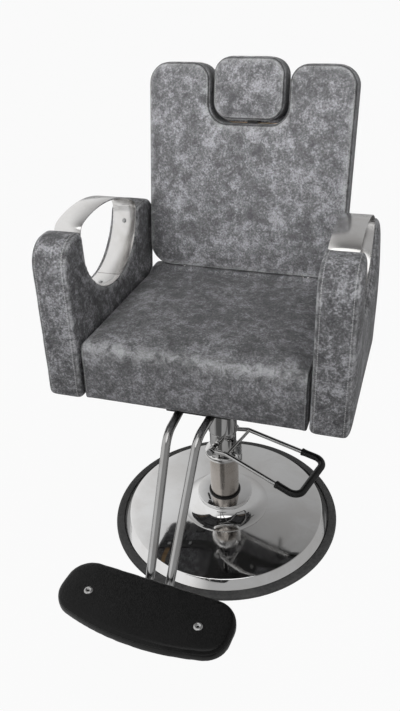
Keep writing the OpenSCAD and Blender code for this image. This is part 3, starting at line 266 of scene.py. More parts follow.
class Bench:
    """Modelling operators, each used on one active object."""

    def take(self, thing: bpy.types.Object) -> None:
        """Select one object and make it the active one.

        Args:
            thing: The object.
        """
        bpy.ops.object.select_all(action="DESELECT")
        thing.select_set(True)
        bpy.context.view_layer.objects.active = thing

    @contextmanager
    def editing(self, thing: bpy.types.Object, part: Part = Part.VERT) -> Iterator[None]:
        """Hold one object in edit mode.

        Args:
            thing: The object.
            part: Kind of element to select.

        Yields:
            Nothing, once, in edit mode.
        """
        self.take(thing)
        bpy.ops.object.mode_set(mode="EDIT")
        bpy.ops.mesh.select_mode(type=part.value)
        yield
        bpy.ops.object.mode_set(mode="OBJECT")

    def pick(self, part: Part, test: Callable[[list[Vector], Vector], bool]) -> int:
        """Select, in edit mode, the elements that a test names.

        Args:
            part: Kind of element.
            test: Takes the element's points and its normal, which is zero for an edge.

        Returns:
            How many are selected.
        """
        mesh = bpy.context.object.data
        bm = bmesh.from_edit_mesh(mesh)
        for element in (*bm.verts, *bm.edges, *bm.faces):
            element.select = False
        group = {Part.VERT: bm.verts, Part.EDGE: bm.edges, Part.FACE: bm.faces}[part]
        count = 0
        for element in group:
            points = [element.co] if part is Part.VERT else [v.co for v in element.verts]
            normal = Vector() if part is Part.EDGE else element.normal
            if test(points, normal):
                element.select_set(True)
                count += 1
        bmesh.update_edit_mesh(mesh)
        return count

    def face_out(self, weld: float = 0.0) -> None:
        """Turn every face outwards, in edit mode.

        Args:
            weld: Distance below which points are joined first.
        """
        bpy.ops.mesh.select_all(action="SELECT")
        if weld:
            bpy.ops.mesh.remove_doubles(threshold=weld)
        bpy.ops.mesh.normals_make_consistent(inside=False)

    def named(self, name: str) -> bpy.types.Object:
        """Give the active object and its mesh a name.

        Args:
            name: The name.

        Returns:
            The object.
        """
        thing = bpy.context.object
        thing.name = thing.data.name = name
        return thing

    def plate(self, name: str, outline: Sequence[Point], low: float, high: float) -> bpy.types.Object:
        """Solid plate: a filled circle whose corners are moved to an outline, then extruded.

        Args:
            name: Name of the piece.
            outline: Corners, anticlockwise.
            low: Height of its lower face.
            high: Height of its upper face.

        Returns:
            The new object.
        """
        bpy.ops.object.select_all(action="DESELECT")
        bpy.ops.mesh.primitive_circle_add(vertices=len(outline), radius=1, fill_type="NGON")
        thing = self.named(name)
        for vertex, (x, y) in zip(thing.data.vertices, outline):
            vertex.co = (x, y, low)
        with self.editing(thing):
            bpy.ops.mesh.select_all(action="SELECT")
            bpy.ops.mesh.extrude_region_move(TRANSFORM_OT_translate={"value": (0, 0, high - low)})
            self.face_out()
        return thing

    def round_rim(self, thing: bpy.types.Object, height: float, radius: float, steps: int = 4) -> None:
        """Bevel the edges of a plate that lie at one height.

        Args:
            thing: The plate.
            height: Where its edges lie.
            radius: Width of the bevel.
            steps: Number of its segments.
        """
        with self.editing(thing, Part.EDGE):
            self.pick(Part.EDGE, lambda p, n: all(abs(q.z - height) < 1e-3 for q in p))
            bpy.ops.mesh.bevel(offset=radius, offset_type="OFFSET", segments=steps, clamp_overlap=False)

    def lathe(self, name: str, profile: Sequence[Point], steps: int = 128) -> bpy.types.Object:
        """Turned piece: a profile of radius and height, spun round the Z axis.

        Args:
            name: Name of the piece.
            profile: Corners of the section, which is a ring.
            steps: Number of sides.

        Returns:
            The new object.
        """
        bpy.ops.object.select_all(action="DESELECT")
        bpy.ops.mesh.primitive_circle_add(vertices=len(profile), radius=1, fill_type="NOTHING")
        thing = self.named(name)
        for vertex, (radius, z) in zip(thing.data.vertices, profile):
            vertex.co = (radius, 0, z)
        with self.editing(thing, Part.EDGE):
            bpy.ops.mesh.select_all(action="SELECT")
            bpy.ops.mesh.spin(steps=steps, angle=math.tau, center=(0, 0, 0), axis=(0, 0, 1))
            self.face_out(WELD)
        return thing

    def rod(self, name: str, line: Sequence[Vector], radius: float | Sequence[float],
            sides: int = 6) -> bpy.types.Object:
        """Round rod along a line: a curve with a round section, made a mesh.

        Args:
            name: Name of the piece.
            line: Points of its middle.
            radius: Its radius, or one for each point.
            sides: Resolution of the section.

        Returns:
            The new object.
        """
        radii = [radius] * len(line) if isinstance(radius, (int, float)) else list(radius)
        bpy.ops.object.select_all(action="DESELECT")
        bpy.ops.curve.primitive_nurbs_path_add()
        thing = self.named(name)
        curve = thing.data
        curve.splines.clear()
        spline = curve.splines.new("POLY")
        spline.points.add(len(line) - 1)
        for spot, place, size in zip(spline.points, line, radii):
            spot.co = (*place, 1)
            spot.radius = size
        curve.bevel_depth, curve.bevel_resolution, curve.use_fill_caps = 1.0, sides, True
        self.take(thing)
        bpy.ops.object.convert(target="MESH")
        thing = self.named(name)
        with self.editing(thing):
            self.face_out(WELD)
        return thing

    def place(self, thing: bpy.types.Object, matrix: Matrix) -> bpy.types.Object:
        """Put a piece's place, turn and scale into its mesh.

        Args:
            thing: The piece.
            matrix: Where it goes from where it is.

        Returns:
            The piece.
        """
        self.take(thing)
        thing.matrix_world = matrix @ thing.matrix_world
        bpy.ops.object.transform_apply(location=True, rotation=True, scale=True)
        if matrix.determinant() < 0:
            with self.editing(thing):
                self.face_out()
        return thing

    def modify(self, thing: bpy.types.Object, kind: str, **values: Any) -> None:
        """Add a modifier and apply it.

        Args:
            thing: The piece.
            kind: Type of the modifier.
            **values: Its settings.
        """
        self.take(thing)
        modifier = thing.modifiers.new(kind.title(), kind)
        for key, value in values.items():
            setattr(modifier, key, value)
        bpy.ops.object.modifier_apply(modifier=modifier.name)

    def cut(self, thing: bpy.types.Object, cutter: bpy.types.Object) -> None:
        """Cut one object out of another and remove it."""
        self.modify(thing, "BOOLEAN", operation="DIFFERENCE", solver="EXACT", object=cutter)
        bpy.data.objects.remove(cutter)

    def soften(self, thing: bpy.types.Object, width: float, angle: float = 35, steps: int = 2) -> None:
        """Round every sharp edge by a small bevel."""
        self.modify(thing, "BEVEL", width=width, segments=steps, limit_method="ANGLE",
                    angle_limit=math.radians(angle), harden_normals=False)

    def shade(self, thing: bpy.types.Object, angle: float = 35) -> None:
        """Shade smooth, with creases above an angle."""
        self.take(thing)
        bpy.ops.object.shade_smooth_by_angle(angle=math.radians(angle))

    def merged_copy(self, node: str, name: str) -> bpy.types.Object:
        """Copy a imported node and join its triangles, so that it shades smoothly.

        Args:
            node: Name of the node.
            name: Name of the copy.

        Returns:
            The copy.
        """
        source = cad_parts[node]
        thing = bpy.data.objects.new(name, source.data.copy())
        thing.data.materials.clear()
        bpy.context.scene.collection.objects.link(thing)
        with self.editing(thing):
            self.face_out(WELD * MM)
            bpy.ops.mesh.tris_convert_to_quads(face_threshold=math.radians(1), shape_threshold=math.radians(180))
            bpy.ops.mesh.dissolve_limited(angle_limit=math.radians(0.5))
        return thing

    def joined(self, things: Sequence[bpy.types.Object], name: str) -> bpy.types.Object:
        """Join several objects into one.

        Args:
            things: The objects.
            name: Name of the whole.

        Returns:
            The first object, which holds them all.
        """
        bpy.ops.object.select_all(action="DESELECT")
        for thing in things:
            thing.select_set(True)
        bpy.context.view_layer.objects.active = things[0]
        bpy.ops.object.join()
        return self.named(name)


BENCH = Bench()


# Shader building


class Flow:
    """A node socket that Python's operators extend with Math nodes."""

    def __init__(self, shader: "Shader", socket: bpy.types.NodeSocket) -> None:
        """Wrap a socket of a shader's tree."""
        self.shader = shader
        self.socket = socket

    def _math(self, operation: str, *values: "Flow | float") -> "Flow":
        """Math node over values, in their order."""
        return self.shader.node("ShaderNodeMath", {"operation": operation}, dict(enumerate(values)))

    def __add__(self, other: "Flow | float") -> "Flow":
        """Sum."""
        return self._math("ADD", self, other)

    __radd__ = __add__

    def __sub__(self, other: "Flow | float") -> "Flow":
        """Difference."""
        return self._math("SUBTRACT", self, other)

    def __rsub__(self, other: float) -> "Flow":
        """Difference from a number."""
        return self._math("SUBTRACT", other, self)

    def __mul__(self, other: "Flow | float") -> "Flow":
        """Product."""
        return self._math("MULTIPLY", self, other)

    __rmul__ = __mul__

    def __abs__(self) -> "Flow":
        """Size without its sign."""
        return self._math("ABSOLUTE", self)

    def fraction(self) -> "Flow":
        """What is left after the whole number."""
        return self._math("FRACT", self)

    def least(self, other: "Flow | float") -> "Flow":
        """Smaller of two."""
        return self._math("MINIMUM", self, other)

    def most(self, other: "Flow | float") -> "Flow":
        """Larger of two."""
        return self._math("MAXIMUM", self, other)

    def ramp(self, low: float, high: float, start: float = 0.0, end: float = 1.0) -> "Flow":
        """Smooth step from start at low to end at high."""
        sockets = {"Value": self, "From Min": low, "From Max": high, "To Min": start, "To Max": end}
        return self.shader.node("ShaderNodeMapRange", {"interpolation_type": "SMOOTHSTEP"}, sockets, "Result")


class Shader:
    """The node tree of a material or of the world, with a method for any node."""

    def __init__(self, owner: bpy.types.Material | bpy.types.World) -> None:
        """Empty the owner's tree.

        Args:
            owner: The material or the world.
        """
        owner.use_nodes = True
        self.owner = owner
        self.tree = owner.node_tree
        self.tree.nodes.clear()

    @cached_property
    def place(self) -> Flow:
        """Coordinates in the piece's own frame, in metres."""
        return self.node("ShaderNodeTexCoord", output="Object")

    def node(self, kind: str, settings: Mapping[str, Any] | None = None,
             sockets: Mapping[str | int, Any] | None = None, output: str | int = 0) -> Flow:
        """Add a node.

        Args:
            kind: Type of the node.
            settings: Its own settings, set first. A ramp's stops are pairs of place and colour.
            sockets: Values or links of its input sockets.
            output: The output socket that is wanted.

        Returns:
            That output socket, wrapped.
        """
        made = self.tree.nodes.new(kind)
        for key, value in (settings or {}).items():
            if key == "stops":
                ramp = made.color_ramp
                while len(ramp.elements) < len(value):
                    ramp.elements.new(0.5)
                for element, (spot, colour) in zip(ramp.elements, value):
                    element.position, element.color = spot, (*colour, 1)
            else:
                setattr(made, key, value)
        for key, value in (sockets or {}).items():
            if isinstance(value, Flow):
                self.tree.links.new(value.socket, made.inputs[key])
            else:
                made.inputs[key].default_value = value
        return Flow(self, made.outputs[output])

    def noise(self, scale: float, detail: float = 3, rough: float = 0.5, stretch: Spot = (1, 1, 1),
              bend: float = 0.0, seed: Spot = (0, 0, 0)) -> Flow:
        """Noise on the piece's own coordinates.

        Args:
            scale: Features for each metre.
            detail: Number of octaves.
            rough: Weight of the finer octaves.
            stretch: Share of the scale along each axis.
            bend: Distortion.
            seed: Place in the noise, which tells one pattern from another.

        Returns:
            A value about 0.5.
        """
        place = self.node("ShaderNodeMapping", {}, {"Vector": self.place, "Location": seed, "Scale": stretch})
        return self.node("ShaderNodeTexNoise", {}, {"Vector": place, "Scale": scale, "Detail": detail,
                                                    "Roughness": rough, "Distortion": bend}, "Fac")

    def cells(self, scale: float, feature: str = "F1") -> Flow:
        """Distance in a pattern of cells, in cells for each metre."""
        sockets = {"Vector": self.place, "Scale": scale}
        return self.node("ShaderNodeTexVoronoi", {"feature": feature}, sockets, "Distance")

    def parts(self, vector: Flow) -> tuple[Flow, Flow, Flow]:
        """Take a vector apart.

        Args:
            vector: The vector.

        Returns:
            Its three components.
        """
        x = self.node("ShaderNodeSeparateXYZ", {}, {0: vector})
        _, y, z = x.socket.node.outputs
        return x, Flow(self, y), Flow(self, z)

    def seam(self) -> tuple[Flow, Flow, Flow]:
        """Length along the mesh's own seams, distance across them, and a share that lightens leatherette, partly worn
        and partly a painted highlight.
        """
        return self.parts(self.node("ShaderNodeAttribute", {"attribute_name": "seam"}, {}, "Vector"))

    def mixed(self, share: "Flow | float", first: Any, second: Any) -> Flow:
        """Colour between two colours."""
        sockets = {"Factor": share, 6: opaque(first), 7: opaque(second)}
        return self.node("ShaderNodeMix", {"data_type": "RGBA"}, sockets, 2)

    def tones(self, value: Flow, stops: Sequence[tuple[float, Colour]]) -> Flow:
        """Colour of a value from a ramp."""
        return self.node("ShaderNodeValToRGB", {"stops": stops}, {"Fac": value}, "Color")

    def relief(self, height: Flow) -> Flow:
        """Normal of a relief whose height is in metres."""
        return self.node("ShaderNodeBump", {}, {"Height": height, "Distance": 1.0, "Strength": 1.0}, "Normal")

    def finish(self, **sockets: Any) -> bpy.types.Material:
        """Close the tree with a Principled shader.

        Args:
            **sockets: Its inputs, with underscores for spaces.

        Returns:
            The material.
        """
        values = {key.replace("_", " "): opaque(value) for key, value in sockets.items()}
        self.close(self.node("ShaderNodeBsdfPrincipled", {}, values, "BSDF"))
        return self.owner

    def close(self, surface: Flow, kind: str = "ShaderNodeOutputMaterial") -> None:
        """Link a surface to a new output node."""
        self.tree.links.new(surface.socket, self.tree.nodes.new(kind).inputs["Surface"])


def opaque(value: Any) -> Any:
    """Value of a socket, a plain colour with its alpha of 1."""
    return (*value, 1) if isinstance(value, tuple) else value


def grey(level: float, warm: float = 0.0, violet: float = 0.0) -> Colour:
    """Colour of a grey as it shows.

    Args:
        level: Display level of its green, from 0 to 255.
        warm: What red gains and blue loses, in levels.
        violet: What both red and blue gain.

    Returns:
        The linear colour.
    """
    def linear(v: float) -> float:
        """Linear value of a display value."""
        return v / 12.92 if v <= 0.04045 else ((v + 0.055) / 1.055) ** 2.4
    return linear((level + warm + violet) / 255), linear(level / 255), linear((level - warm + violet) / 255)


# Finishes

MADE_FINISHES: dict[str, bpy.types.Material] = {}


@dataclass(frozen=True)
class Finish:
    """A finish: its name and the record's material slot."""

    name: str
    slot: str

    def material(self) -> bpy.types.Material:
        """Material of this finish, made once."""
        if self.name not in MADE_FINISHES:
            MADE_FINISHES[self.name] = self.build(Shader(bpy.data.materials.new(self.name)))
        return MADE_FINISHES[self.name]

    def build(self, s: Shader) -> bpy.types.Material:
        """Build the node tree of the finish."""
        raise NotImplementedError(self.name, s)


@dataclass(frozen=True)
class Leatherette(Finish):
    """Mottled grey leatherette, with seams from the mesh's own seam attribute: painted shade in each seam's groove,
    and a painted highlight, partly worn leather, near the edges.
    """

    dark: float = 74
    middle: float = 103
    light: float = 160
    thread: float = 165
    # share of painted shade in the seam groove, which also sets the groove's depth
    shaded_groove: float = 0.80
    stitch: float = 0.75
    stitch_pitch: float = 4.2
    stitch_gap: float = 3.6

    def build(self, s: Shader) -> bpy.types.Material:
        """Build the node tree.

        Args:
            s: Shader of the new material.

        Returns:
            The material.
        """
        cloud = s.noise(15, 4, 0.6, bend=0.5)
        patch = s.noise(46, 6, 0.72, seed=(4.1, 2.7, 9.3), bend=0.6)
        fleck = s.noise(230, 3, 0.65, seed=(1.7, 8.1, 3.9))
        tone = cloud * 0.24 + patch * 0.44 + fleck * 0.32
        colour = s.tones(tone, [(0.41, grey(self.dark, -1, 1)), (0.495, grey(self.middle, -1, 1)),
                                (0.59, grey(self.light, -2, 2))])
        veins = s.cells(120, "DISTANCE_TO_EDGE").ramp(0.0, 0.10, 1.0, 0.0) * patch.ramp(0.42, 0.58)
        colour = s.mixed(veins * 0.30, colour, grey(self.dark - 26))
        along, across, wear_and_highlight = s.seam()
        # painted shade: the seam's groove is darkened almost to black, besides its relief
        shaded_groove = abs(across).ramp(0.0003, 0.0019, 1.0, 0.0)
        row = abs(across - self.stitch_gap * MM).ramp(0.0003, 0.0009, 1.0, 0.0)
        dash = abs((along * (1 / MM / self.stitch_pitch)).fraction() - 0.5).ramp(0.32, 0.40, 1.0, 0.0)
        stitch = row * dash
        # painted highlight, partly worn leather: lighter along the edges and on the seat's front roll
        colour = s.mixed(wear_and_highlight * patch.ramp(0.35, 0.6) * 0.38, colour, grey(self.light + 26, -1))
        colour = s.mixed(shaded_groove * self.shaded_groove, colour, grey(26))
        colour = s.mixed(stitch * self.stitch, colour, grey(self.thread))
        pores = s.cells(900, "F1").ramp(0.1, 0.75)
        crease = s.noise(260, 4, 0.62, seed=(7.7, 1.1, 5.2), bend=1.2)
        pull = abs(across).ramp(0.001, 0.012, 1.0, 0.0) * s.noise(60, 2, 0.5, seed=(2, 2, 2))
        height = pores * 0.00006 + crease * 0.00026 + pull * 0.0006 - shaded_groove * self.shaded_groove * 0.0014 + stitch * 0.0004
        rough = (0.50 + cloud * 0.22 + fleck * 0.08 - wear_and_highlight * 0.08).least(0.85)
        return s.finish(Base_Color=colour, Roughness=rough, Normal=s.relief(height), Sheen_Weight=0.12,
                        Sheen_Roughness=0.45, Specular_IOR_Level=0.42)


@dataclass(frozen=True)
class GrainedVinyl(Finish):
    """Black vinyl with a pebble grain that fades out at the glossy edge, and painted shade in the groove round that
    edge.
    """

    def build(self, s: Shader) -> bpy.types.Material:
        """Build the node tree.

        Args:
            s: Shader of the new material.

        Returns:
            The material.
        """
        _, across, flat = s.seam()
        pebble = s.cells(560, "F1").ramp(0.05, 0.7)
        fine = s.cells(1500, "F1")
        patch = s.noise(11, 4, 0.6)
        colour = s.tones(pebble, [(0.0, grey(26)), (0.5, grey(13)), (1.0, grey(6))])
        colour = s.mixed(patch.ramp(0.45, 0.7) * 0.3, colour, grey(28))
        # painted shade: the edge groove is darkened, besides its relief
        shaded_groove = abs(across).ramp(0.0002, 0.0012, 1.0, 0.0)
        colour = s.mixed(shaded_groove * 0.7, colour, grey(8))
        height = (pebble * -0.00045 + fine * -0.00006) * (0.06 + flat * 0.94) - shaded_groove * 0.0008
        rough = (0.16 + flat * 0.20 + patch * 0.10).least(0.8)
        return s.finish(Base_Color=colour, Roughness=rough, Normal=s.relief(height), Specular_IOR_Level=0.2)


@dataclass(frozen=True)
class Metal(Finish):
    """Bare or plated metal, with smudges, a slow wave in its sheet and fine lines of its polish."""

    level: float = 232
    warm: float = 0.0
    rough: float = 0.05
    smudge: float = 0.08
    wave: float = 0.00006
    lines: Spot | None = None
    line_depth: float = 0.0

    def build(self, s: Shader) -> bpy.types.Material:
        """Build the node tree.

        Args:
            s: Shader of the new material.

        Returns:
            The material.
        """
        haze = s.noise(9, 4, 0.6, bend=0.6)
        spots = s.noise(70, 3, 0.6, seed=(3, 1, 4)).ramp(0.52, 0.72)
        scuff = s.noise(30, 5, 0.7, stretch=(1, 1, 6), seed=(5, 9, 2)).ramp(0.55, 0.75)
        colour = s.mixed(haze.ramp(0.35, 0.7) * 0.5, grey(self.level, self.warm), grey(self.level - 24, self.warm + 3))
        rough = self.rough + haze.ramp(0.4, 0.75) * self.smudge + spots * self.smudge * 0.6 + scuff * self.smudge * 0.4
        height = s.noise(6.5, 2, 0.45, seed=(8, 8, 1)) * self.wave
        if self.lines:
            streak = s.noise(120, 3, 0.7, stretch=self.lines, seed=(1, 2, 3))
            height = height + streak * self.line_depth
            rough = rough + streak * 0.10
            colour = s.mixed(streak.ramp(0.4, 0.7) * 0.35, colour, grey(self.level - 40, self.warm + 2))
        return s.finish(Base_Color=colour, Metallic=1.0, Roughness=rough.least(0.9), Normal=s.relief(height))


@dataclass(frozen=True)
class Coating(Finish):
    """Rubber, powder coat or plastic: one colour with dust, mottle and a fine skin."""

    level: float = 60
    warm: float = 0.0
    rough: float = 0.6
    dust: float = 0.25
    skin: float = 0.00008
    skin_scale: float = 420
    shine: float = 0.5

    def build(self, s: Shader) -> bpy.types.Material:
        """Build the node tree.

        Args:
            s: Shader of the new material.

        Returns:
            The material.
        """
        dirt = s.noise(24, 5, 0.65, bend=0.4).ramp(0.42, 0.75)
        tint = s.noise(150, 3, 0.6, seed=(2, 7, 1))
        colour = s.tones(tint, [(0.35, grey(self.level - 9, self.warm)), (0.65, grey(self.level + 9, self.warm))])
        colour = s.mixed(dirt * self.dust, colour, grey(min(self.level + 62, 240), 1))
        height = s.noise(self.skin_scale, 3, 0.6) * self.skin + s.cells(self.skin_scale * 1.6) * self.skin * 0.4
        rough = (self.rough + dirt * 0.12 + tint * 0.06).least(0.95)
        return s.finish(Base_Color=colour, Roughness=rough, Normal=s.relief(height), Specular_IOR_Level=self.shine)


@dataclass(frozen=True)
class Plywood(Finish):
    """Birch plywood, with long figure on its faces and plies on its edges."""

    def build(self, s: Shader) -> bpy.types.Material:
        """Build the node tree.

        Args:
            s: Shader of the new material.

        Returns:
            The material.
        """
        figure = s.noise(26, 5, 0.6, stretch=(0.14, 1.4, 1.4), bend=1.4)
        fibre = s.noise(420, 3, 0.7, stretch=(0.05, 1, 1))
        grain = figure * 0.7 + fibre * 0.3
        colour = s.tones(grain, [(0.35, (0.34, 0.20, 0.095)), (0.5, (0.50, 0.33, 0.17)), (0.65, (0.62, 0.45, 0.26))])
        return s.finish(Base_Color=colour, Roughness=0.55 + fibre * 0.2, Normal=s.relief(fibre * 0.00012))


HIDE = Leatherette("mottled_leatherette", "grey_leatherette")
STITCHED_HIDE = Leatherette("stitched_leatherette", "grey_leatherette", 64, 100, 172, 182, shaded_groove=0.30, stitch=0.85,
                            stitch_pitch=5.0)
VINYL = GrainedVinyl("black_grained_vinyl", "black_vinyl")
CHROME = Metal("mirror_chrome_plate", "mirror_chrome", level=222, rough=0.035, smudge=0.07, wave=0.00012)
BRIGHT_ROD = Metal("chromed_rod", "mirror_chrome", level=178, rough=0.10, smudge=0.08, wave=0.0)
BRUSHED = Metal("brushed_column_tube", "brushed_tube", level=182, warm=6, rough=0.16, smudge=0.08, wave=0.0,
                lines=(0.25, 0.25, 14), line_depth=0.00002)
BAND_STEEL = Metal("polished_band", "brushed_tube", level=218, warm=1, rough=0.15, smudge=0.05, wave=0.00002)
ZINC = Metal("zinc_steel", "plain_steel", level=178, warm=-1, rough=0.28, smudge=0.18, wave=0.0)
BRONZE = Metal("bronze_bush", "bronze", level=170, warm=34, rough=0.3, smudge=0.2, wave=0.0)
RUBBER = Coating("rim_rubber", "black_rubber", level=76, rough=0.62, dust=0.22, skin=0.00006)
GRIP_RUBBER = Coating("grip_rubber", "black_rubber", level=16, rough=0.26, dust=0.05, skin=0.00003, skin_scale=700,
                       shine=0.3)
POWDER = Coating("black_powder_coat", "dark_steel", level=40, rough=0.45, dust=0.12, skin=0.00005, skin_scale=900)
PLY = Plywood("birch_plywood", "plywood")
BLACK_PLY = Coating("black_stained_plywood", "plywood", level=34, rough=0.6, dust=0.18, skin=0.00010, skin_scale=260)


# Pieces


@dataclass
class Assembly:
    """A sub-assembly: what its pieces are made with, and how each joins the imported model."""

    made: list[bpy.types.Object] = field(default_factory=list, init=False)

    def add(self, thing: bpy.types.Object, body: str, finish: Finish, *nodes: str, crease: float = 35,
            fill: float | None = None) -> bpy.types.Object:
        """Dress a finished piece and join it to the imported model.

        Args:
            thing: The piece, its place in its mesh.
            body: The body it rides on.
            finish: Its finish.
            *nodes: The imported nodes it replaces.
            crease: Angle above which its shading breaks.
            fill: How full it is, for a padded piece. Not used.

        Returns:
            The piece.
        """
        BENCH.shade(thing, crease)
        thing.data.materials.clear()
        thing.data.materials.append(finish.material())
        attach(thing, body)
        if nodes:
            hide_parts(*nodes)
        self.made.append(thing)
        log.info("%s: %d faces on %s", thing.name, len(thing.data.polygons), body)
        return thing

    def smooth_copy(self, node: str, body: str, finish: Finish, bevel: float = 0.0) -> bpy.types.Object:
        """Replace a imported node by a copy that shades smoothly.

        Args:
            node: Name of the node.
            body: The body it rides on.
            finish: Its finish.
            bevel: Width of the bevel that breaks its edges.

        Returns:
            The copy.
        """
        thing = BENCH.merged_copy(node, node + "_finished")
        if bevel:
            BENCH.soften(thing, bevel * MM, steps=1)
        return self.add(thing, body, finish, node)


@dataclass
class Padding:
    """A padded form between two heights of an outline, made in its own frame and placed in metres.

    The crown is how far the upper face rises to its middle, over its reach. The caps are the most that the cloth may
    swell on the sides, the upper face and the lower face. The shape bends the whole form, and the slots are cut last.
    """

    name: str
    outline: list[Point]
    low: float
    high: float
    low_round: float
    high_round: float
    place: Matrix
    crown: float = 5.0
    crown_reach: float = 90.0
    crown_power: float = 2.2
    low_crown: float = 0.0
    side_cap: float = 1.0
    face_cap: float = 5.0
    low_cap: float = 0.5
    cap_reach: float = 30.0
    voxel: float = 5.0
    pressure: float = 4.0
    steps: int = 20
    # where the lighter band near the upper edge lies and how wide it is: worn leather with a painted highlight
    wear_and_highlight_at: float = 5.0
    wear_and_highlight_reach: float = 9.0
    shape: Callable[[np.ndarray], np.ndarray] | None = None
    slots: tuple[tuple[Point, Point, Point], ...] = ()

    def local(self, thing: bpy.types.Object) -> np.ndarray:
        """The piece's points in its own frame, in millimetres."""
        back = np.array(self.place.inverted())
        return mesh_points(thing) @ back[:3, :3].T + back[:3, 3]

    def store(self, thing: bpy.types.Object, points: np.ndarray) -> None:
        """Move the piece's points to places given in its own frame."""
        ahead = np.array(self.place)
        move_points(thing, points @ ahead[:3, :3].T + ahead[:3, 3])

    def faces(self, points: np.ndarray) -> tuple[np.ndarray, np.ndarray]:
        """How near each point is to the upper face and to the lower one, from 0 at mid height to 1."""
        half = (self.low + self.high) / 2
        return smooth_share(points[:, 2], half, self.high), smooth_share(-points[:, 2], -half, -self.low)

    def blank(self) -> bpy.types.Object:
        """Extrude the outline, round its rims and mesh it evenly.

        Returns:
            The form before it is crowned and stuffed.
        """
        thing = BENCH.plate(self.name, self.outline, self.low, self.high)
        BENCH.round_rim(thing, self.high, self.high_round, 5)
        BENCH.round_rim(thing, self.low, self.low_round, 3)
        BENCH.place(thing, self.place)
        BENCH.modify(thing, "REMESH", mode="VOXEL", voxel_size=self.voxel * MM)
        with BENCH.editing(thing):
            bpy.ops.mesh.select_all(action="SELECT")
            bpy.ops.mesh.vertices_smooth(factor=0.5, repeat=5)
        return thing

    def crowned(self, thing: bpy.types.Object) -> None:
        """Raise the faces towards their middle, and give the form its shape.

        Args:
            thing: The form.
        """
        points = self.local(thing)
        inside, _ = edge_field(points[:, :2], self.outline)
        rise = 1 - (1 - np.clip(inside / self.crown_reach, 0, 1)) ** self.crown_power
        up, down = self.faces(points)
        points[:, 2] += self.crown * rise * up - self.low_crown * rise * down
        if self.shape:
            points = self.shape(points)
        self.store(thing, points)

    def stuffed(self, thing: bpy.types.Object) -> None:
        """Swell the form by a cloth simulation under pressure, each point by no more than its cap.

        Args:
            thing: The form.
        """
        before = mesh_points(thing)
        points = self.local(thing)
        inside, _ = edge_field(points[:, :2], self.outline)
        up, down = (share * smooth_share(inside, 0, self.cap_reach) for share in self.faces(points))
        caps = (self.side_cap + (self.face_cap - self.side_cap) * up + (self.low_cap - self.side_cap) * down) * MM
        BENCH.take(thing)
        cloth = thing.modifiers.new("Cloth", "CLOTH")
        values = cloth.settings
        values.quality, values.mass = 5, 0.3
        values.use_pressure, values.uniform_pressure_force = True, self.pressure
        values.effector_weights.gravity = 0
        scene = bpy.context.scene
        for step in range(1, self.steps + 1):
            scene.frame_set(step)
        after = mesh_points(thing.evaluated_get(bpy.context.evaluated_depsgraph_get()))
        thing.modifiers.remove(cloth)
        scene.frame_set(1)
        move = after - before
        size = np.linalg.norm(move, axis=1)
        move *= (caps * np.tanh(size / np.maximum(caps, 1e-6)) / np.maximum(size, 1e-9))[:, None]
        move_points(thing, before + move)

    def slotted(self, thing: bpy.types.Object, spans: tuple[Point, Point, Point]) -> None:
        """Cut a slot through the form.

        Args:
            thing: The form.
            spans: The slot's span along each axis of the form's own frame.
        """
        (x0, x1), (y0, y1), (z0, z1) = spans
        cutter = BENCH.plate("slot_cutter", [(x0, y0), (x1, y0), (x1, y1), (x0, y1)], z0, z1)
        BENCH.place(cutter, self.place)
        BENCH.cut(thing, cutter)

    def seams(self, thing: bpy.types.Object, inset: float) -> None:
        """Store a seam that runs round the form, and a lighter band near its upper edge: worn leather with a painted
        highlight.

        Args:
            thing: The piece.
            inset: Distance of the seam from the outline.
        """
        points = self.local(thing)
        inside, along = edge_field(points[:, :2], self.outline)
        # painted highlight, partly worn leather, in a band near the upper edge
        wear_and_highlight = np.exp(-(((inside - self.wear_and_highlight_at) / self.wear_and_highlight_reach) ** 2)) * self.faces(points)[0]
        keep_seams(thing, along, inside - inset, wear_and_highlight)

    def build(self) -> bpy.types.Object:
        """Make the whole form, before its seams.

        Returns:
            The form.
        """
        thing = self.blank()
        self.crowned(thing)
        self.stuffed(thing)
        for spans in self.slots:
            self.slotted(thing, spans)
        BENCH.modify(thing, "SUBSURF", levels=1, render_levels=1)
        return thing


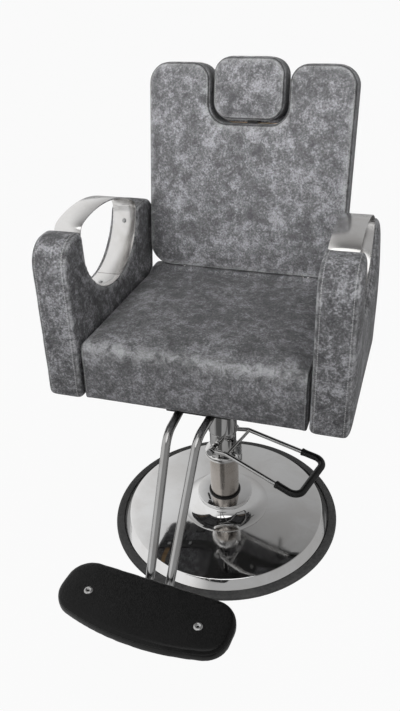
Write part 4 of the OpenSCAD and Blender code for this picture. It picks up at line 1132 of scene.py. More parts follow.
@dataclass
class PumpBase(Assembly):
    """Round base with its rubber rim, chrome cover and bell, and the pump's column."""

    rim_r: float = 300.0
    rim_in: float = 270.0
    rim_h: float = 14.0
    rim_round: float = 5.88
    ledge_r: float = 275.6
    ledge_z: float = 8.0
    groove_z: float = 2.9
    lip_gap: float = 0.6
    cover_r: float = 278.5
    cover_z: float = 2.85
    fold_z: float = 9.5
    break_r: float = 260.0
    band_foot_z: float = 11.5
    edge_z: float = 33.0
    hole_r: float = 50.0
    top_z: float = 51.0
    sheet: float = 2.5
    foot_r: float = 116.0
    foot_edge: float = 1.6
    fit: float = 0.05
    hollow: Point = (56.0, 76.0)
    neck_r: float = 63.0
    neck_z: float = 77.0
    disc_r: float = 73.0
    disc_z: float = 83.0
    disc_top: float = 90.0
    bore_r: float = 37.8
    seal_r: float = 42.0
    seal_in: float = 37.7
    seal_top: float = 94.0
    tube_r: float = 37.5
    tube_in: float = 34.5
    tube_z: float = 18.0
    head_z: float = 209.0
    head_top: float = 232.0
    collar_r: float = 34.0
    collar_in: float = 31.0
    collar_top: float = 345.0
    shroud_r: float = 36.5
    shroud_in: float = 34.3
    shroud_z: float = 294.0
    shroud_top: float = 472.3
    shroud_ring: Point = (7.0, 7.1)

    def cone(self, r: float) -> float:
        """Height of the shallow cone at a radius."""
        return self.edge_z + (self.break_r - r) * (self.top_z - self.edge_z) / (self.break_r - self.hole_r)

    def turned(self, name: str, profile: Sequence[Point], body: str, finish: Finish, *nodes: str,
               steps: int = 160, crease: float = 40) -> bpy.types.Object:
        """Add a turned piece.

        Args:
            name: Name of the piece.
            profile: Corners of its section.
            body: The body it rides on.
            finish: Its finish.
            *nodes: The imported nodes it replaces.
            steps: Number of sides.
            crease: Angle above which its shading breaks.

        Returns:
            The piece.
        """
        thing = BENCH.place(BENCH.lathe(name, profile, steps), METRES)
        return self.add(thing, body, finish, *nodes, crease=crease)

    def rim(self) -> None:
        """Rubber ring round the foot, with a lip that laps the cover."""
        r, h, b, lip_r = self.rim_r, self.rim_h, self.rim_round, self.cover_r + self.lip_gap
        outer = fillet((0, h), (r, h), (r, h / 2), b, 8) + fillet((r, h / 2), (r, 0), (0, 0), b, 8)
        lip = fillet((r, h), (lip_r, h), (lip_r, 0), 0.9, 3)
        profile = [*lip[::-1], *outer, (self.rim_in, 0.0), (self.rim_in, self.ledge_z), (self.ledge_r, self.ledge_z),
                   (self.ledge_r, self.groove_z), (lip_r, self.groove_z)]
        self.turned("base_rubber_rim", profile, "base", RUBBER, "base_rim", steps=192)

    def cover(self) -> None:
        """Chrome cover: a slanted band and a shallow cone, with a soft crease between them."""
        foot = (self.cover_r, self.band_foot_z)
        crease = (self.break_r, self.edge_z)
        top = (self.hole_r, self.top_z)
        fold = (self.cover_r, self.fold_z)
        outer = [(self.cover_r, self.cover_z), fold] + fillet(fold, foot, crease, 1.2, 3)
        outer += fillet(foot, crease, top, 5.5, 8)
        rings = 12
        radii = [self.hole_r + (self.break_r - self.hole_r) * k / rings for k in range(rings - 1, -1, -1)]
        outer += [(radius, self.cone(radius)) for radius in radii]
        t, half = self.sheet, self.sheet / 2
        inner = [(self.hole_r, self.top_z - t), (self.break_r - half, self.edge_z - t),
                 (self.cover_r - t, self.band_foot_z - half), (self.cover_r - t, self.cover_z)]
        self.turned("base_chrome_cover", outer + inner, "base", CHROME, "base_cover", steps=256, crease=30)

    def bell(self) -> None:
        """Bell at the column's foot, drawn in to a neck under a flat disc."""
        low = self.cone(self.foot_r) + self.fit
        rings = 28
        sweep = [math.radians(90 * i / rings) for i in range(rings + 1)]
        curve = [(self.foot_r - (self.foot_r - self.neck_r) * math.sin(t),
                  self.neck_z - (self.neck_z - low - self.foot_edge) * math.cos(t)) for t in sweep]
        edge = (self.disc_r, self.disc_top)
        disc = fillet((self.neck_r, self.disc_z), (self.disc_r, self.disc_z), edge, 1.6, 4)
        disc += fillet((self.disc_r, self.disc_z), edge, (0, self.disc_top), 1.6, 4)
        inner_r, inner_z = self.hollow
        bore = [(self.bore_r, self.disc_top), (self.bore_r, self.disc_z), (inner_r, inner_z),
                (inner_r, self.cone(inner_r) + self.fit)]
        profile = [(self.foot_r, low), *curve, *disc, *bore]
        self.turned("column_foot_bell", profile, "base", CHROME, "base_bell", steps=192)

    def seal(self) -> None:
        """Black ring where the tube enters the bell."""
        r, low, top = self.seal_r, self.disc_top, self.seal_top
        rim = fillet((0, top), (r, top), (r, low), 1.6, 4)
        profile = [(self.seal_in, low), (self.seal_in, top), *rim, (r, low + 0.02)]
        self.turned("tube_foot_seal", profile, "base", GRIP_RUBBER, "column_seal", steps=96)

    def column(self) -> None:
        """Brushed tube, chrome collar and the shroud that hides the rod.

        The shroud has a ring of points above its round foot, which keeps the shading of its wall straight.
        """
        r, inner, z0, z1 = self.tube_r, self.tube_in, self.tube_z, self.head_z - 0.1
        profile = [(r, z0), (r, z1), (inner, z1), (inner, z0)]
        self.turned("pump_outer_tube", profile, "base", BRUSHED, "pump_tube", steps=96)
        r, inner, z0, z1 = self.collar_r, self.collar_in, self.head_top, self.collar_top
        lip = fillet((r, z0), (r, z1), (0, z1), 1.2, 3)
        profile = [(r, z0), *lip, (inner, z1), (inner, z0)]
        self.turned("column_collar", profile, "base", CHROME, "head_collar", steps=96)
        r, inner, z0, z1 = self.shroud_r, self.shroud_in, self.shroud_z, self.shroud_top
        foot = fillet((inner, z0), (r, z0), (r, z1), 0.9, 3)
        ring = [(r, z0 + rise) for rise in self.shroud_ring]
        profile = [(inner, z0), *foot, *ring, (r, z1), (inner, z1)]
        self.turned("rod_shroud", profile, "seat", CHROME, "column_shroud", steps=96)

    def build(self) -> None:
        """Build the base and the column."""
        self.rim()
        self.cover()
        self.bell()
        self.seal()
        self.column()
        self.smooth_copy("pump_head", "base", CHROME, 0.8)
        self.smooth_copy("lever_studs", "base", ZINC, 0.8)
        self.smooth_copy("piston_rod", "ram", BRIGHT_ROD)
        for node in ("thrust_collar", "piston"):
            self.smooth_copy(node, "ram", ZINC, 0.5)
        self.smooth_copy("pump_plunger", "plunger", ZINC, 0.5)
        spring = self.smooth_copy("plunger_spring", "base", ZINC)
        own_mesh(spring)
        self.smooth_copy("seat_hub", "seat", POWDER, 0.8)


@dataclass
class PumpLever(Assembly):
    """U-shaped lever of chromed rod with its rubber grip."""

    pivot_half: float = 52.0
    reach: float = 252.0
    half: float = 75.0
    neck_run: float = 42.0
    neck_rise: float = 11.0
    drop: float = 20.0
    rod_r: float = 5.5
    bend: float = 24.0
    grip_leg: float = 40.0
    grip_r: float = 8.6
    swell: float = 0.35
    bead: tuple[Point, ...] = ((0.0, 6.2), (0.0, 8.6), (0.7, 9.4), (2.2, 9.5), (5.2, 9.5), (6.2, 9.1), (7.2, 8.7),
                               (10.0, 8.6))
    eye_r: float = 11.0
    eye_bore: float = 5.1
    eye_half: float = 5.5
    bridge_x: float = 46.0
    bridge_r: float = 4.0

    def leg(self, side: int) -> list[Vector]:
        """Corners of one leg.

        Args:
            side: 1 for the right leg and -1 for the left one.

        Returns:
            Its eye, the end of its neck and its lower end.
        """
        neck = self.pivot_half + (self.half - self.pivot_half) * self.neck_run / self.reach
        return [Vector((0, side * self.pivot_half, 0)), Vector((self.neck_run, side * neck, self.neck_rise)),
                Vector((self.reach, side * self.half, -self.drop))]

    def build(self) -> None:
        """Build the rod with its eyes, and the grip."""
        left, right = self.leg(-1), self.leg(1)
        line = bent_line([*left, *right[::-1]], self.bend, 12)
        parts = [BENCH.rod("lever_rod", line, self.rod_r, 8)]
        rim = fillet((0, self.eye_half), (self.eye_r, self.eye_half), (self.eye_r, 0), 1.4, 3)
        bore = [(self.eye_bore, -self.eye_half), (self.eye_bore, self.eye_half)]
        for side in (-1, 1):
            eye = BENCH.lathe("lever_eye", [*bore, *rim, *[(r, -z) for r, z in rim[::-1]]], 48)
            parts.append(BENCH.place(eye, slide(y=side * self.pivot_half) @ turn(90, "X")))
        neck = right[1].y
        bridge = [Vector((self.bridge_x, -neck, self.neck_rise)), Vector((self.bridge_x, neck, self.neck_rise))]
        parts.append(BENCH.rod("lever_bridge", bridge, self.bridge_r, 6))
        thing = BENCH.place(BENCH.joined(parts, "pump_lever_rod"), LEVER_FRAME)
        self.add(thing, "lever", BRIGHT_ROD, "pump_lever")
        ends = [leg[2] + (leg[1] - leg[2]).normalized() * (self.bend + self.grip_leg) for leg in (left, right)]
        middle = bent_line([ends[0], left[2], right[2], ends[1]], self.bend, 14)
        line, radii = self.sleeve(middle)
        grip = BENCH.rod("lever_grip_sleeve", line, radii, 10)
        self.add(BENCH.place(grip, LEVER_FRAME), "lever", GRIP_RUBBER, "lever_grip", crease=50)

    def sleeve(self, middle: list[Vector]) -> tuple[list[Vector], list[float]]:
        """Rubber sleeve: rolled beads at both ends and a faint swell between them.

        Args:
            middle: Line of its middle.

        Returns:
            The sleeve's line and its radius at each point.
        """
        start = (middle[1] - middle[0]).normalized()
        end = (middle[-2] - middle[-1]).normalized()
        line = [middle[0] + start * reach for reach, _ in self.bead]
        line += [*middle[1:-1], *[middle[-1] + end * reach for reach, _ in reversed(self.bead)]]
        count = len(middle) - 2
        radii = [r for _, r in self.bead]
        radii += [self.grip_r + self.swell * math.sin(math.pi * i / (count - 1)) for i in range(count)]
        return line, radii + [r for _, r in reversed(self.bead)]


@dataclass
class SeatCushion(Assembly):
    """Thick seat cushion, wrapped from front to rear and sewn to its two end panels."""

    half: float = 251.6
    front: float = 226.0
    rear: float = 200.0
    tail: float = 60.0
    thick: float = 140.0
    crown: float = 8.0
    corner: float = 8.0
    edge_r: float = 20.0
    stitch_inset: float = 4.0
    steel_slot: Point = (143.0, 171.0)
    steel_slot_front: float = 214.5
    bolt_slot: Point = (157.0, 165.0)
    bolt_slot_front: float = 204.5
    tail_rise: float = 9.0

    def under_back(self, points: np.ndarray) -> np.ndarray:
        """Draw in the lower half of the tail, raise its top under the back, and square the sewn ends.

        Args:
            points: Points in the cushion's own frame.

        Returns:
            Where they go.
        """
        x, y, z = points.T
        share = np.clip((z - self.thick / 2) / (self.thick / 2 - self.edge_r), 0.1, 1)
        moved = points.copy()
        moved[:, 1] -= np.maximum(y - self.rear, 0) * (1 - share)
        moved[:, 2] += self.tail_rise * smooth_share(y, 188, 206) * smooth_share(z, 70, 125)
        out = np.abs(x) - self.half
        sewn = ((2, z - self.thick, 1, self.edge_r), (2, -z, -1, 14), (1, -y - self.front, -1, 14))
        for axis, gap, way, reach in sewn:
            u, v = np.clip(out / reach + 1, 0, 1.2), np.clip(gap / reach + 1, 0, 1.2)
            square = np.hypot(u, v) / np.maximum((u ** 4 + v ** 4) ** 0.25, 1e-6)
            grow = np.where((u > 0) & (v > 0), square - 1, 0) * reach
            moved[:, 0] += np.sign(x) * u * grow
            moved[:, axis] += way * v * grow
        return moved

    def build(self) -> None:
        """Build the cushion, with slots for the hinge's steel and its bolts."""
        end = self.rear + self.tail
        depth = (-9, self.thick + 30)
        spans = ((self.steel_slot, self.steel_slot_front), (self.bolt_slot, self.bolt_slot_front))
        slots = tuple((span, (front, end + 9), depth) for (a, b), front in spans for span in ((a, b), (-b, -a)))
        outline = rounded_box(self.half, -self.front, end, self.corner, 6)
        pad = Padding("seat_cushion_cover", outline, 0.0, self.thick, 6.0, self.edge_r, SEAT_FRAME,
                      crown=self.crown, crown_reach=130.0, side_cap=1.2, face_cap=5.0, low_cap=0.2, voxel=6.0,
                      shape=self.under_back, slots=slots)
        thing = pad.build()
        x, y, z = pad.local(thing).T
        along = np.where(z > self.thick - 20, y, z - self.front - self.thick)
        # painted highlight, partly worn leather, along the front roll of the seat's top
        roll = np.exp(-(((y + self.front - 8) / 16) ** 2)) * smooth_share(z, 95, 130)
        keep_seams(thing, along, self.half - np.abs(x) - self.stitch_inset, roll)
        self.add(thing, "seat", HIDE, "seat_cushion", crease=60, fill=0.9)


@dataclass
class ArmRest(Assembly):
    """Padded arm with a round notch and the steel band that closes it to a loop."""

    hand: Hand = Hand.RIGHT
    inner: float = 254.8
    thick: float = 80.0
    taper: float = 12.0
    front: float = 234.0
    foot_rear: float = 183.0
    top_rear: float = 250.0
    front_h: float = 364.0
    rear_h: float = 323.0
    front_r: float = 58.0
    rear_r: float = 40.0
    foot_r: float = 14.0
    lobe: float = 172.0
    tip: float = 355.0
    tip_r: float = 6.0
    edge_r: float = 6.0
    stitch_inset: float = 6.0
    loop: Point = (6.0, 330.0)
    loop_a: float = 154.0
    loop_b: float = 142.0
    arch: Point = (-35.3, -0.4)
    arch_r: float = 389.0
    band_x: float = 258.8
    band_w: float = 61.0
    band_t: float = 3.0
    band_gap: float = 0.6
    lap: tuple[int, int] = (-78, -60)
    lap_t: float = 1.1
    screws: tuple[float, ...] = (-16, 262, 196)
    dome: tuple[Point, ...] = ((5.4, 0.0), (5.5, 0.4), (4.9, 1.5), (3.8, 2.2), (2.6, 2.6), (1.9, 2.5), (1.5, 1.6),
                               (0.0, 1.3), (0.0, 0.0))

    @property
    def place(self) -> Matrix:
        """Frame of the arm's side view, on this arm's side of the seat."""
        return SEAT_FRAME @ self.hand.matrix @ SIDEWAYS

    def reach(self, degrees: float) -> float:
        """Measure the steel loop, a half ellipse below a wide arch.

        Args:
            degrees: Direction from the loop's middle, 0 to the rear and 90 up.

        Returns:
            Distance of the loop from its middle.
        """
        u = Vector((math.cos(math.radians(degrees)), math.sin(math.radians(degrees))))
        low = 1 / math.hypot(u.x / self.loop_a, u.y / self.loop_b)
        d = Vector(self.arch) - Vector(self.loop)
        k = u.dot(d)
        high = k + math.sqrt(k * k - d.dot(d) + self.arch_r ** 2)
        return low * (1 + (low / high) ** 20) ** (-1 / 20)

    def loop_point(self, degrees: float, out: float = 0.0) -> Point:
        """Point of the loop in one direction, moved outwards."""
        r, t = self.reach(degrees) + out, math.radians(degrees)
        return self.loop[0] + r * math.cos(t), self.loop[1] + r * math.sin(t)

    def outline(self) -> list[Point]:
        """Draw the arm's side.

        Returns:
            Its outline in Y and Z of the seat's frame, anticlockwise.
        """
        front, front_h, rear_h, gap = -self.front, self.front_h, self.rear_h, self.band_gap
        foot, top = (self.foot_rear, 0.0), (self.top_rear, rear_h)
        lobe, tip = self.loop_point(self.lobe, gap), self.loop_point(self.tip, gap)
        notch = [self.loop_point(self.tip - (self.tip - self.lobe) * i / 52, gap) for i in range(53)]
        return [*fillet((front, 50), (front, 0), (0, 0), self.foot_r, 6), *fillet((0, 0), foot, top, self.foot_r, 6),
                *fillet(foot, top, (0, rear_h), self.rear_r, 12), *fillet(top, (tip[0], rear_h), tip, self.tip_r, 4),
                *notch, *fillet(lobe, (lobe[0], front_h), (front, front_h), self.tip_r, 4),
                *fillet((lobe[0], front_h), (front, front_h), (front, 0), self.front_r, 12)]

    def shape(self, points: np.ndarray) -> np.ndarray:
        """Thin the arm towards its top and rear, on the outer side.

        Args:
            points: Points in the arm's own frame.

        Returns:
            Where they go.
        """
        start = self.loop[1] / 3
        rise = np.clip((points[:, 1] - start) / (self.front_h - start), 0, None) ** 2
        rise *= smooth_share(points[:, 0], -170, 60)
        moved = points.copy()
        moved[:, 2] -= self.taper * rise * (points[:, 2] - self.inner) / self.thick
        return moved

    def pad(self) -> None:
        """Padded side, sewn along both edges of its front strip."""
        outline = self.outline()
        pad = Padding(f"arm_cover_{self.hand.word}", outline, self.inner, self.inner + self.thick,
                      self.edge_r, self.edge_r, self.place, crown=4.5, crown_reach=60.0, low_crown=0.6, side_cap=0.4,
                      face_cap=1.5, low_cap=0.8, voxel=5.0, shape=self.shape)
        thing = pad.build()
        points = pad.local(thing)
        flat = points.copy()
        for _ in range(3):
            flat[:, 2] = points[:, 2] + (flat[:, 2] - self.shape(flat)[:, 2])
        inside, along = edge_field(points[:, :2], outline)
        near = np.minimum(flat[:, 2] - self.inner, self.inner + self.thick - flat[:, 2])
        across = np.where(inside < 14, near - self.stitch_inset, FAR)
        # painted highlight, partly worn leather, along both edges of the front strip
        wear_and_highlight = np.exp(-(((near - 1.5) / 6) ** 2)) * smooth_share(-inside, -12, -4)
        keep_seams(thing, along, across, wear_and_highlight)
        self.add(thing, "seat", STITCHED_HIDE, f"arm_pad_{self.hand.word}", crease=60, fill=1.0)

    def band(self) -> None:
        """Closed band of polished steel, with the lap where its two ends meet."""
        low, high, t = self.band_x, self.band_x + self.band_w, self.band_t
        count = 200
        ring = [self.loop_point(360 * i / count) for i in range(count)]
        hollow = [self.loop_point(360 * i / count, -t) for i in range(count)]
        thing = BENCH.plate("band", ring, low, high)
        BENCH.cut(thing, BENCH.plate("band_cutter", hollow, low - 5, high + 5))
        BENCH.soften(thing, 0.5, 60)
        start, end = self.lap
        lap = [self.loop_point(a, -t + 0.1) for a in range(start, end + 1)]
        lap += [self.loop_point(a, -t - self.lap_t) for a in range(end, start - 1, -1)]
        tongue = BENCH.plate("band_lap", lap, low + 0.8, high - 0.8)
        BENCH.soften(tongue, 0.35, 60)
        whole = BENCH.place(BENCH.joined([thing, tongue], f"steel_band_{self.hand.word}"), self.place)
        self.add(whole, "seat", BAND_STEEL, f"arm_band_{self.hand.word}", crease=40)

    def screw_heads(self) -> None:
        """Oval screw heads that hold the band to the pad, each with a round dimple in its middle."""
        parts = []
        for angle in self.screws:
            head = BENCH.lathe("screw_head", self.dome, 24)
            y, z = self.loop_point(angle, -self.band_t)
            ahead, behind = self.loop_point(angle + 1), self.loop_point(angle - 1)
            lean = math.degrees(math.atan2(ahead[1] - behind[1], ahead[0] - behind[0]))
            seat = slide(self.band_x + self.band_w / 2, y, z) @ turn(lean, "X")
            parts.append(BENCH.place(head, seat))
        thing = BENCH.joined(parts, f"band_screw_heads_{self.hand.word}")
        self.add(BENCH.place(thing, SEAT_FRAME @ self.hand.matrix), "seat", ZINC)

    def build(self) -> None:
        """Build the arm."""
        self.pad()
        self.band()
        self.screw_heads()


@dataclass
class BackRest(Assembly):
    """Upright back with a notch for the headrest, and its rear panel."""

    half: float = 249.0
    height: float = 492.0
    depth: float = 72.0
    panel: float = 8.3
    low_r: float = 58.0
    high_r: float = 50.0
    notch_r: float = 42.0
    notch_half: float = 94.0
    notch_z: float = 358.0
    panel_notch_z: float = 441.4
    panel_notch_r: float = 10.0
    panel_seam: float = 9.0
    crown: float = 5.0

    def outline(self, floor: float, floor_r: float, inset: float = 0.0) -> list[Point]:
        """Draw the back's face, with the notch for the headrest.

        Args:
            floor: Height of the notch's floor.
            floor_r: Radius of its lower corners.
            inset: How far the line lies inside the face's own edge.

        Returns:
            The outline in X and height, anticlockwise.
        """
        w, h, n, d = self.half - inset, self.height - inset, self.notch_half + inset, floor - inset
        low, high, notch = self.low_r - inset, self.high_r - inset, self.notch_r - inset
        return rounded([(-w, inset, low), (w, inset, low), (w, h, high), (n, h, notch), (n, d, floor_r + inset),
                        (-n, d, floor_r + inset), (-n, h, notch), (-w, h, high)], 10)

    def build(self) -> None:
        """Build the cushion and the rear panel."""
        place = BACK_FRAME @ UPRIGHT
        outline = self.outline(self.notch_z, self.notch_r)
        pad = Padding("back_cushion_cover", outline, -self.depth, 0.0, 6.0, 11.0, place, crown=self.crown,
                      crown_reach=110.0, side_cap=0.8, face_cap=4.0, low_cap=0.0, voxel=5.0)
        thing = pad.build()
        pad.seams(thing, EDGE_SEAM)
        self.add(thing, "back", HIDE, "back_cushion", crease=60, fill=0.9)
        outline = self.outline(self.panel_notch_z, self.panel_notch_r, 1.0)
        rear = -self.depth - self.panel
        pad = Padding("back_rear_cover", outline, rear, -self.depth - 0.1, 3.4, 0.8, place, voxel=3.0)
        thing = pad.blank()
        pad.seams(thing, self.panel_seam)
        self.add(thing, "back", HIDE, "rear_panel", crease=60, fill=1.0)


@dataclass
class HeadRest(Assembly):
    """Small headrest cushion in the back's notch, on its bar."""

    half: float = 86.0
    foot: float = 366.0
    height: float = 139.0
    radius: float = 40.0
    proud: float = 5.0
    depth: float = 75.0

    def build(self) -> None:
        """Build the cushion."""
        outline = rounded_box(self.half, self.foot, self.foot + self.height, self.radius, 12)
        pad = Padding("headrest_cover", outline, self.proud - self.depth, self.proud, 5.5, 11.0, BACK_FRAME @ UPRIGHT,
                      crown=4.0, crown_reach=60.0, side_cap=0.8, face_cap=3.0, low_cap=1.0, voxel=4.0)
        thing = pad.build()
        pad.seams(thing, EDGE_SEAM)
        self.add(thing, "headrest", HIDE, "headrest_pad", crease=60, fill=0.9)
        self.smooth_copy("headrest_bar", "headrest", POWDER, 0.6)


@dataclass
class FootRest(Assembly):
    """Two bent bars that carry a board in black vinyl."""

    bar_r: float = 9.5
    bend: float = 55.0
    top_half: float = 33.0
    low_half: float = 21.5
    bend_y: float = -295.0
    bar_z: float = -14.8
    apex_y: float = -285.0
    apex_z: float = -13.8
    leg: float = 308.0
    drop: float = 56.3
    tail: float = 196.22
    run: float = 104.0
    half: float = 183.0
    depth: float = 57.5
    belly: float = 47.0
    belly_r: float = 540.0
    corner: float = 51.0
    thick: float = 30.0
    strap: float = 4.0
    edge_r: float = 8.0
    groove_z: float = -8.6
    twist: float = -5.3
    bolt_half: float = 118.5
    bolt_y: float = -18.0
    dome: tuple[Point, ...] = ((4.2, -2.0), (9.3, -0.3), (9.5, 0.5), (9.0, 1.6), (7.6, 2.7), (5.8, 3.1), (4.6, 2.9),
                               (3.7, 1.9), (2.4, 1.0), (0.0, 0.7), (0.0, -2.0))
    shank_r: float = 4.0
    shank: float = 8.0
    nut_r: float = 7.5
    nut_h: float = 6.0
    set_back: float = 68.0
    shift: float = 2.0

    def low_end(self) -> Vector:
        """Lower bend of the right bar, in the seat's frame."""
        t = math.radians(self.drop)
        return Vector((self.low_half, self.bend_y - self.leg * math.cos(t), self.bar_z - self.leg * math.sin(t)))

    def board_frame(self) -> Matrix:
        """Frame on the board's top face, level with the floor."""
        low = self.low_end()
        return (SEAT_FRAME @ slide(y=low.y, z=low.z) @ turn(RAKE, "X")
                @ slide(self.shift, -self.set_back, self.bar_r + self.strap + self.thick))

    def bars(self) -> None:
        """The two chromed bars."""
        low = self.low_end()
        t = math.radians(RAKE)
        widen = (self.top_half - self.low_half) / self.leg
        line = [Vector((self.top_half + widen * self.tail, self.bend_y + self.tail, self.bar_z)),
                Vector((self.top_half, self.apex_y, self.apex_z)), low,
                low + Vector((0, -math.cos(t), -math.sin(t))) * self.run]
        for hand in Hand:
            name = hand.name.lower()
            rod = BENCH.rod(f"footrest_rod_{name}", bent_line(line, self.bend, 16), self.bar_r, 12)
            BENCH.soften(rod, 0.8, 60)
            BENCH.place(rod, SEAT_FRAME @ hand.matrix)
            self.add(rod, "seat", BRIGHT_ROD, f"footrest_bar_{name}", crease=45)

    def board(self) -> None:
        """Board wrapped in grained vinyl, smooth and glossy round its edge."""
        outline = rounded([(-self.half, -self.depth, self.corner), (0, -self.depth - self.belly, self.belly_r),
                           (self.half, -self.depth, self.corner), (self.half, self.depth, self.corner),
                           (-self.half, self.depth, self.corner)], 14)
        pad = Padding("footrest_board_cover", outline, -self.thick, -1.0, 5.0, self.edge_r,
                      self.board_frame() @ turn(self.twist, "Z"), crown=1.2, crown_reach=40.0, side_cap=0.3,
                      face_cap=0.8, low_cap=0.0, voxel=4.0)
        thing = pad.build()
        points = pad.local(thing)
        inside, along = edge_field(points[:, :2], outline)
        across = np.where(inside < 6, points[:, 2] - self.groove_z, FAR)
        keep_seams(thing, along, across, smooth_share(inside, 5, 14))
        self.add(thing, "seat", VINYL, "footrest_board", crease=60, fill=1.0)

    def bolts(self) -> None:
        """Dimpled heads above the board, and the nuts below its strap."""
        parts = []
        under = -self.thick - self.strap
        low, r = under - self.shank, self.shank_r
        shank = [(0, low), (r - 0.6, low), (r, low + 1), (r, under), (0, under)]
        for side in (-1, 1):
            spot = turn(self.twist, "Z") @ slide(side * self.bolt_half, self.bolt_y)
            parts.append(BENCH.place(BENCH.lathe("bolt_head", self.dome, 48), spot))
            parts.append(BENCH.place(BENCH.lathe("bolt_end", shank, 24), spot))
            bpy.ops.object.select_all(action="DESELECT")
            bpy.ops.mesh.primitive_cylinder_add(vertices=6, radius=self.nut_r, depth=self.nut_h,
                                                location=(0, 0, under - self.nut_h / 2))
            nut = BENCH.place(BENCH.named("bolt_nut"), Matrix.Identity(4))
            BENCH.soften(nut, 0.7, 30)
            parts.append(BENCH.place(nut, spot))
        thing = BENCH.place(BENCH.joined(parts, "board_bolts"), self.board_frame())
        self.add(thing, "seat", BRIGHT_ROD, "footrest_bolts", crease=40)

    def build(self) -> None:
        """Build the footrest."""
        self.bars()
        self.board()
        self.bolts()
        self.smooth_copy("footrest_strap", "seat", POWDER, 0.6)
        self.smooth_copy("footrest_saddle", "seat", POWDER, 1.0)


@dataclass
class Recliner(Assembly):
    """Hinge and lock between the seat and the back, and what carries the arms."""

    beveled: tuple[tuple[str, str, Finish, float], ...] = (
        ("hinge_brackets", "seat", POWDER, 0.6), ("hinge_washers", "seat", POWDER, 0.2),
        ("pivot_bolts", "seat", POWDER, 0.8), ("lock_bolt", "seat", ZINC, 0.3),
        ("lock_handle", "lock", BRIGHT_ROD, 0.6), ("lock_grip", "lock", GRIP_RUBBER, 1.0),
        ("back_steel_left", "back", POWDER, 0.6), ("back_steel_right", "back", POWDER, 0.6),
        ("headrest_guide", "back", POWDER, 0.6), ("arm_rails", "seat", POWDER, 0.6),
        ("mounting_plate", "seat", POWDER, 0.6), ("mounting_bolts", "seat", ZINC, 0.5),
        ("rail_bolts", "seat", ZINC, 0.5), ("seat_board", "seat", BLACK_PLY, 0.8))

    def build(self) -> None:
        """Dress the brackets, bolts and boards."""
        for node, body, finish, bevel in self.beveled:
            self.smooth_copy(node, body, finish, bevel)


@dataclass
class Kept:
    """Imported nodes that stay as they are, under a finish of their own."""

    finishes: Mapping[str, Finish] = field(default_factory=lambda: {
        "ballast_plate": POWDER, "pump_flange": ZINC, "flange_bolts": ZINC, "oil_cylinder": ZINC, "rod_bush": BRONZE,
        "rod_seal": GRIP_RUBBER, "thrust_washer": BRONZE, "arm_cores": PLY, "back_board": PLY,
        "headrest_board": BLACK_PLY, "band_screws": ZINC})

    def build(self) -> None:
        """Give each node its material."""
        for name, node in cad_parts.items():
            finish = self.finishes.get(name, CHROME)
            node.data.materials.clear()
            node.data.materials.append(finish.material())


# Studio


@dataclass(frozen=True)
class Lamp:
    """A soft round lamp: its place, what it points at, its width, power and cone, and whether metal shows it."""

    name: str
    spot: Spot
    aim: Spot
    size: float
    power: float
    spread: float = 180.0
    glint: bool = True

    def build(self) -> None:
        """Add the lamp."""
        bpy.ops.object.light_add(type="AREA", location=self.spot)
        lamp = bpy.context.object
        lamp.name = self.name
        lamp.data.shape, lamp.data.size, lamp.data.energy = "DISK", self.size, self.power
        lamp.data.spread = math.radians(self.spread)
        lamp.visible_glossy = self.glint
        lamp.rotation_mode = "QUATERNION"
        lamp.rotation_quaternion = (Vector(self.aim) - Vector(self.spot)).to_track_quat("-Z", "Y")


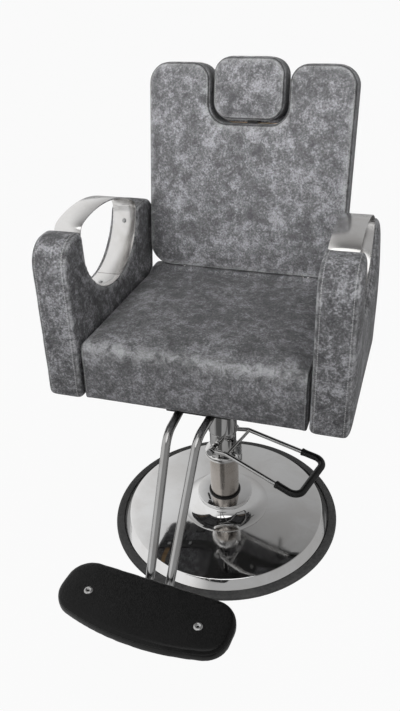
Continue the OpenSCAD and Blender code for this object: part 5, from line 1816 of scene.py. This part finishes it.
@dataclass
class Studio:
    """Camera at the photograph's place, a pale floor and soft lights. Places are in metres."""

    spot: Spot = (0.4372, -1.3932, 1.4435)
    yaw: float = 19.3
    pitch: float = -32.38
    roll: float = -3.13
    focal_px: float = 725.15
    long_px: float = 711.0
    sensor: float = 36.0
    lamps: tuple[Lamp, ...] = (
        Lamp("key_lamp", (-0.5, -2.5, 1.9), (0, 0.3, 1.32), 1.2, 7.6, spread=46, glint=False),
        Lamp("top_lamp", (0.2, -0.9, 3.0), (0, 0, 0.5), 2.0, 14),
        Lamp("side_lamp", (2.7, -0.6, 1.0), (0, 0, 0.6), 1.4, 15, glint=False))

    def camera(self) -> None:
        """Camera solved from the photograph."""
        y, p, r = (math.radians(v) for v in (self.yaw, self.pitch, self.roll))
        ahead = Vector((-math.sin(y) * math.cos(p), math.cos(y) * math.cos(p), math.sin(p)))
        right = Vector((math.cos(y), math.sin(y), 0))
        up = right.cross(ahead)
        tilted_right = right * math.cos(r) + up * math.sin(r)
        tilted_up = -right * math.sin(r) + up * math.cos(r)
        bpy.ops.object.camera_add()
        camera = bpy.context.object
        camera.name = "photo_camera"
        rotation = Matrix((tilted_right, tilted_up, -ahead)).transposed()
        camera.matrix_world = Matrix.Translation(self.spot) @ rotation.to_4x4()
        camera.data.sensor_width = self.sensor
        camera.data.lens = self.sensor * self.focal_px / self.long_px
        camera.data.clip_end = 100
        bpy.context.scene.camera = camera

    def rays(self, s: Shader) -> tuple[Flow, Flow]:
        """Tell the rays apart.

        Args:
            s: Shader that gets the nodes.

        Returns:
            1 for rays from the camera or through a glass, and 1 for rays from a gloss.
        """
        camera = s.node("ShaderNodeLightPath", output="Is Camera Ray")
        outputs = camera.socket.node.outputs
        return camera.most(Flow(s, outputs["Is Transmission Ray"])), Flow(s, outputs["Is Glossy Ray"])

    def floor(self) -> None:
        """Pale floor that keeps the chair's shadow; in metal it shows a painted shadow that darkens near the chair,
        and painted darker reflections to the right and in soft patches.
        """
        bpy.ops.object.select_all(action="DESELECT")
        bpy.ops.mesh.primitive_plane_add(size=60)
        floor = BENCH.named("studio_floor")
        s = Shader(bpy.data.materials.new("studio_floor"))
        speck = s.noise(2.0, 2, 0.5)
        colour = s.tones(speck, [(0.3, (0.42, 0.42, 0.42)), (0.7, (0.45, 0.45, 0.45))])
        matt = s.node("ShaderNodeBsdfDiffuse", {}, {"Color": colour}, "BSDF")
        x, y, _ = s.parts(s.place)
        # painted shadow and reflection, seen by glossy rays only: the floor's glow darkens near the chair, to the
        # right and in soft patches
        shine = (x * -0.8 - y * 0.6).ramp(-0.8, 0.7, 0.55, 1.0) * (x * x + y * y).ramp(0.08, 1.2, 0.4, 1.0)
        shine = shine * s.noise(2.6, 2, 0.5, seed=(3, 5, 1)).ramp(0.40, 0.52, 0.22, 1.0)
        direct, gloss = self.rays(s)
        strength = direct + (1 - direct) * shine
        glow = s.node("ShaderNodeEmission", {}, {"Color": (1, 1, 1, 1), "Strength": strength}, "Emission")
        s.close(s.node("ShaderNodeMixShader", {}, {0: direct.most(gloss) * 0.95, 1: matt, 2: glow}, "Shader"))
        floor.data.materials.append(s.owner)

    def world(self) -> None:
        """White backdrop with a softer ambient light, and a room that metal shows darker to the right."""
        world = bpy.data.worlds.new("studio_world")
        bpy.context.scene.world = world
        s = Shader(world)
        direct, gloss = self.rays(s)
        x, y, z = s.parts(s.node("ShaderNodeTexCoord", output="Generated"))
        side = (x * -0.9 - y * 0.12).ramp(0.07, 0.42, 0.48, 1.0)
        shine = side - z.ramp(0.5, 0.95, 0.0, 0.5) * (1 - side)
        strength = direct + (1 - direct) * (gloss * shine + (1 - gloss) * 0.26)
        sky = s.node("ShaderNodeBackground", {}, {"Color": (1, 1, 1, 1), "Strength": strength}, "Background")
        s.close(sky, "ShaderNodeOutputWorld")

    def build(self) -> None:
        """Build the studio."""
        self.camera()
        self.floor()
        self.world()
        for lamp in self.lamps:
            lamp.build()
        bpy.context.scene.view_settings.view_transform = "Standard"


def main() -> None:
    """Build the studio and every sub-assembly, in order."""
    logging.basicConfig(level=logging.INFO, format="%(message)s")
    bpy.ops.object.select_all(action="DESELECT")
    Studio().build()
    Kept().build()
    arms = (ArmRest(Hand.LEFT, front_h=367.0, foot_rear=222.0, top_rear=270.0),
            ArmRest(Hand.RIGHT, front_h=372.0, lobe=161.0, taper=17.0))
    for assembly in (PumpBase(), PumpLever(), SeatCushion(), *arms, BackRest(), HeadRest(), FootRest(), Recliner()):
        assembly.build()
        log.info("%s: %d pieces", type(assembly).__name__, len(assembly.made))


if __name__ == "__main__":
    main()
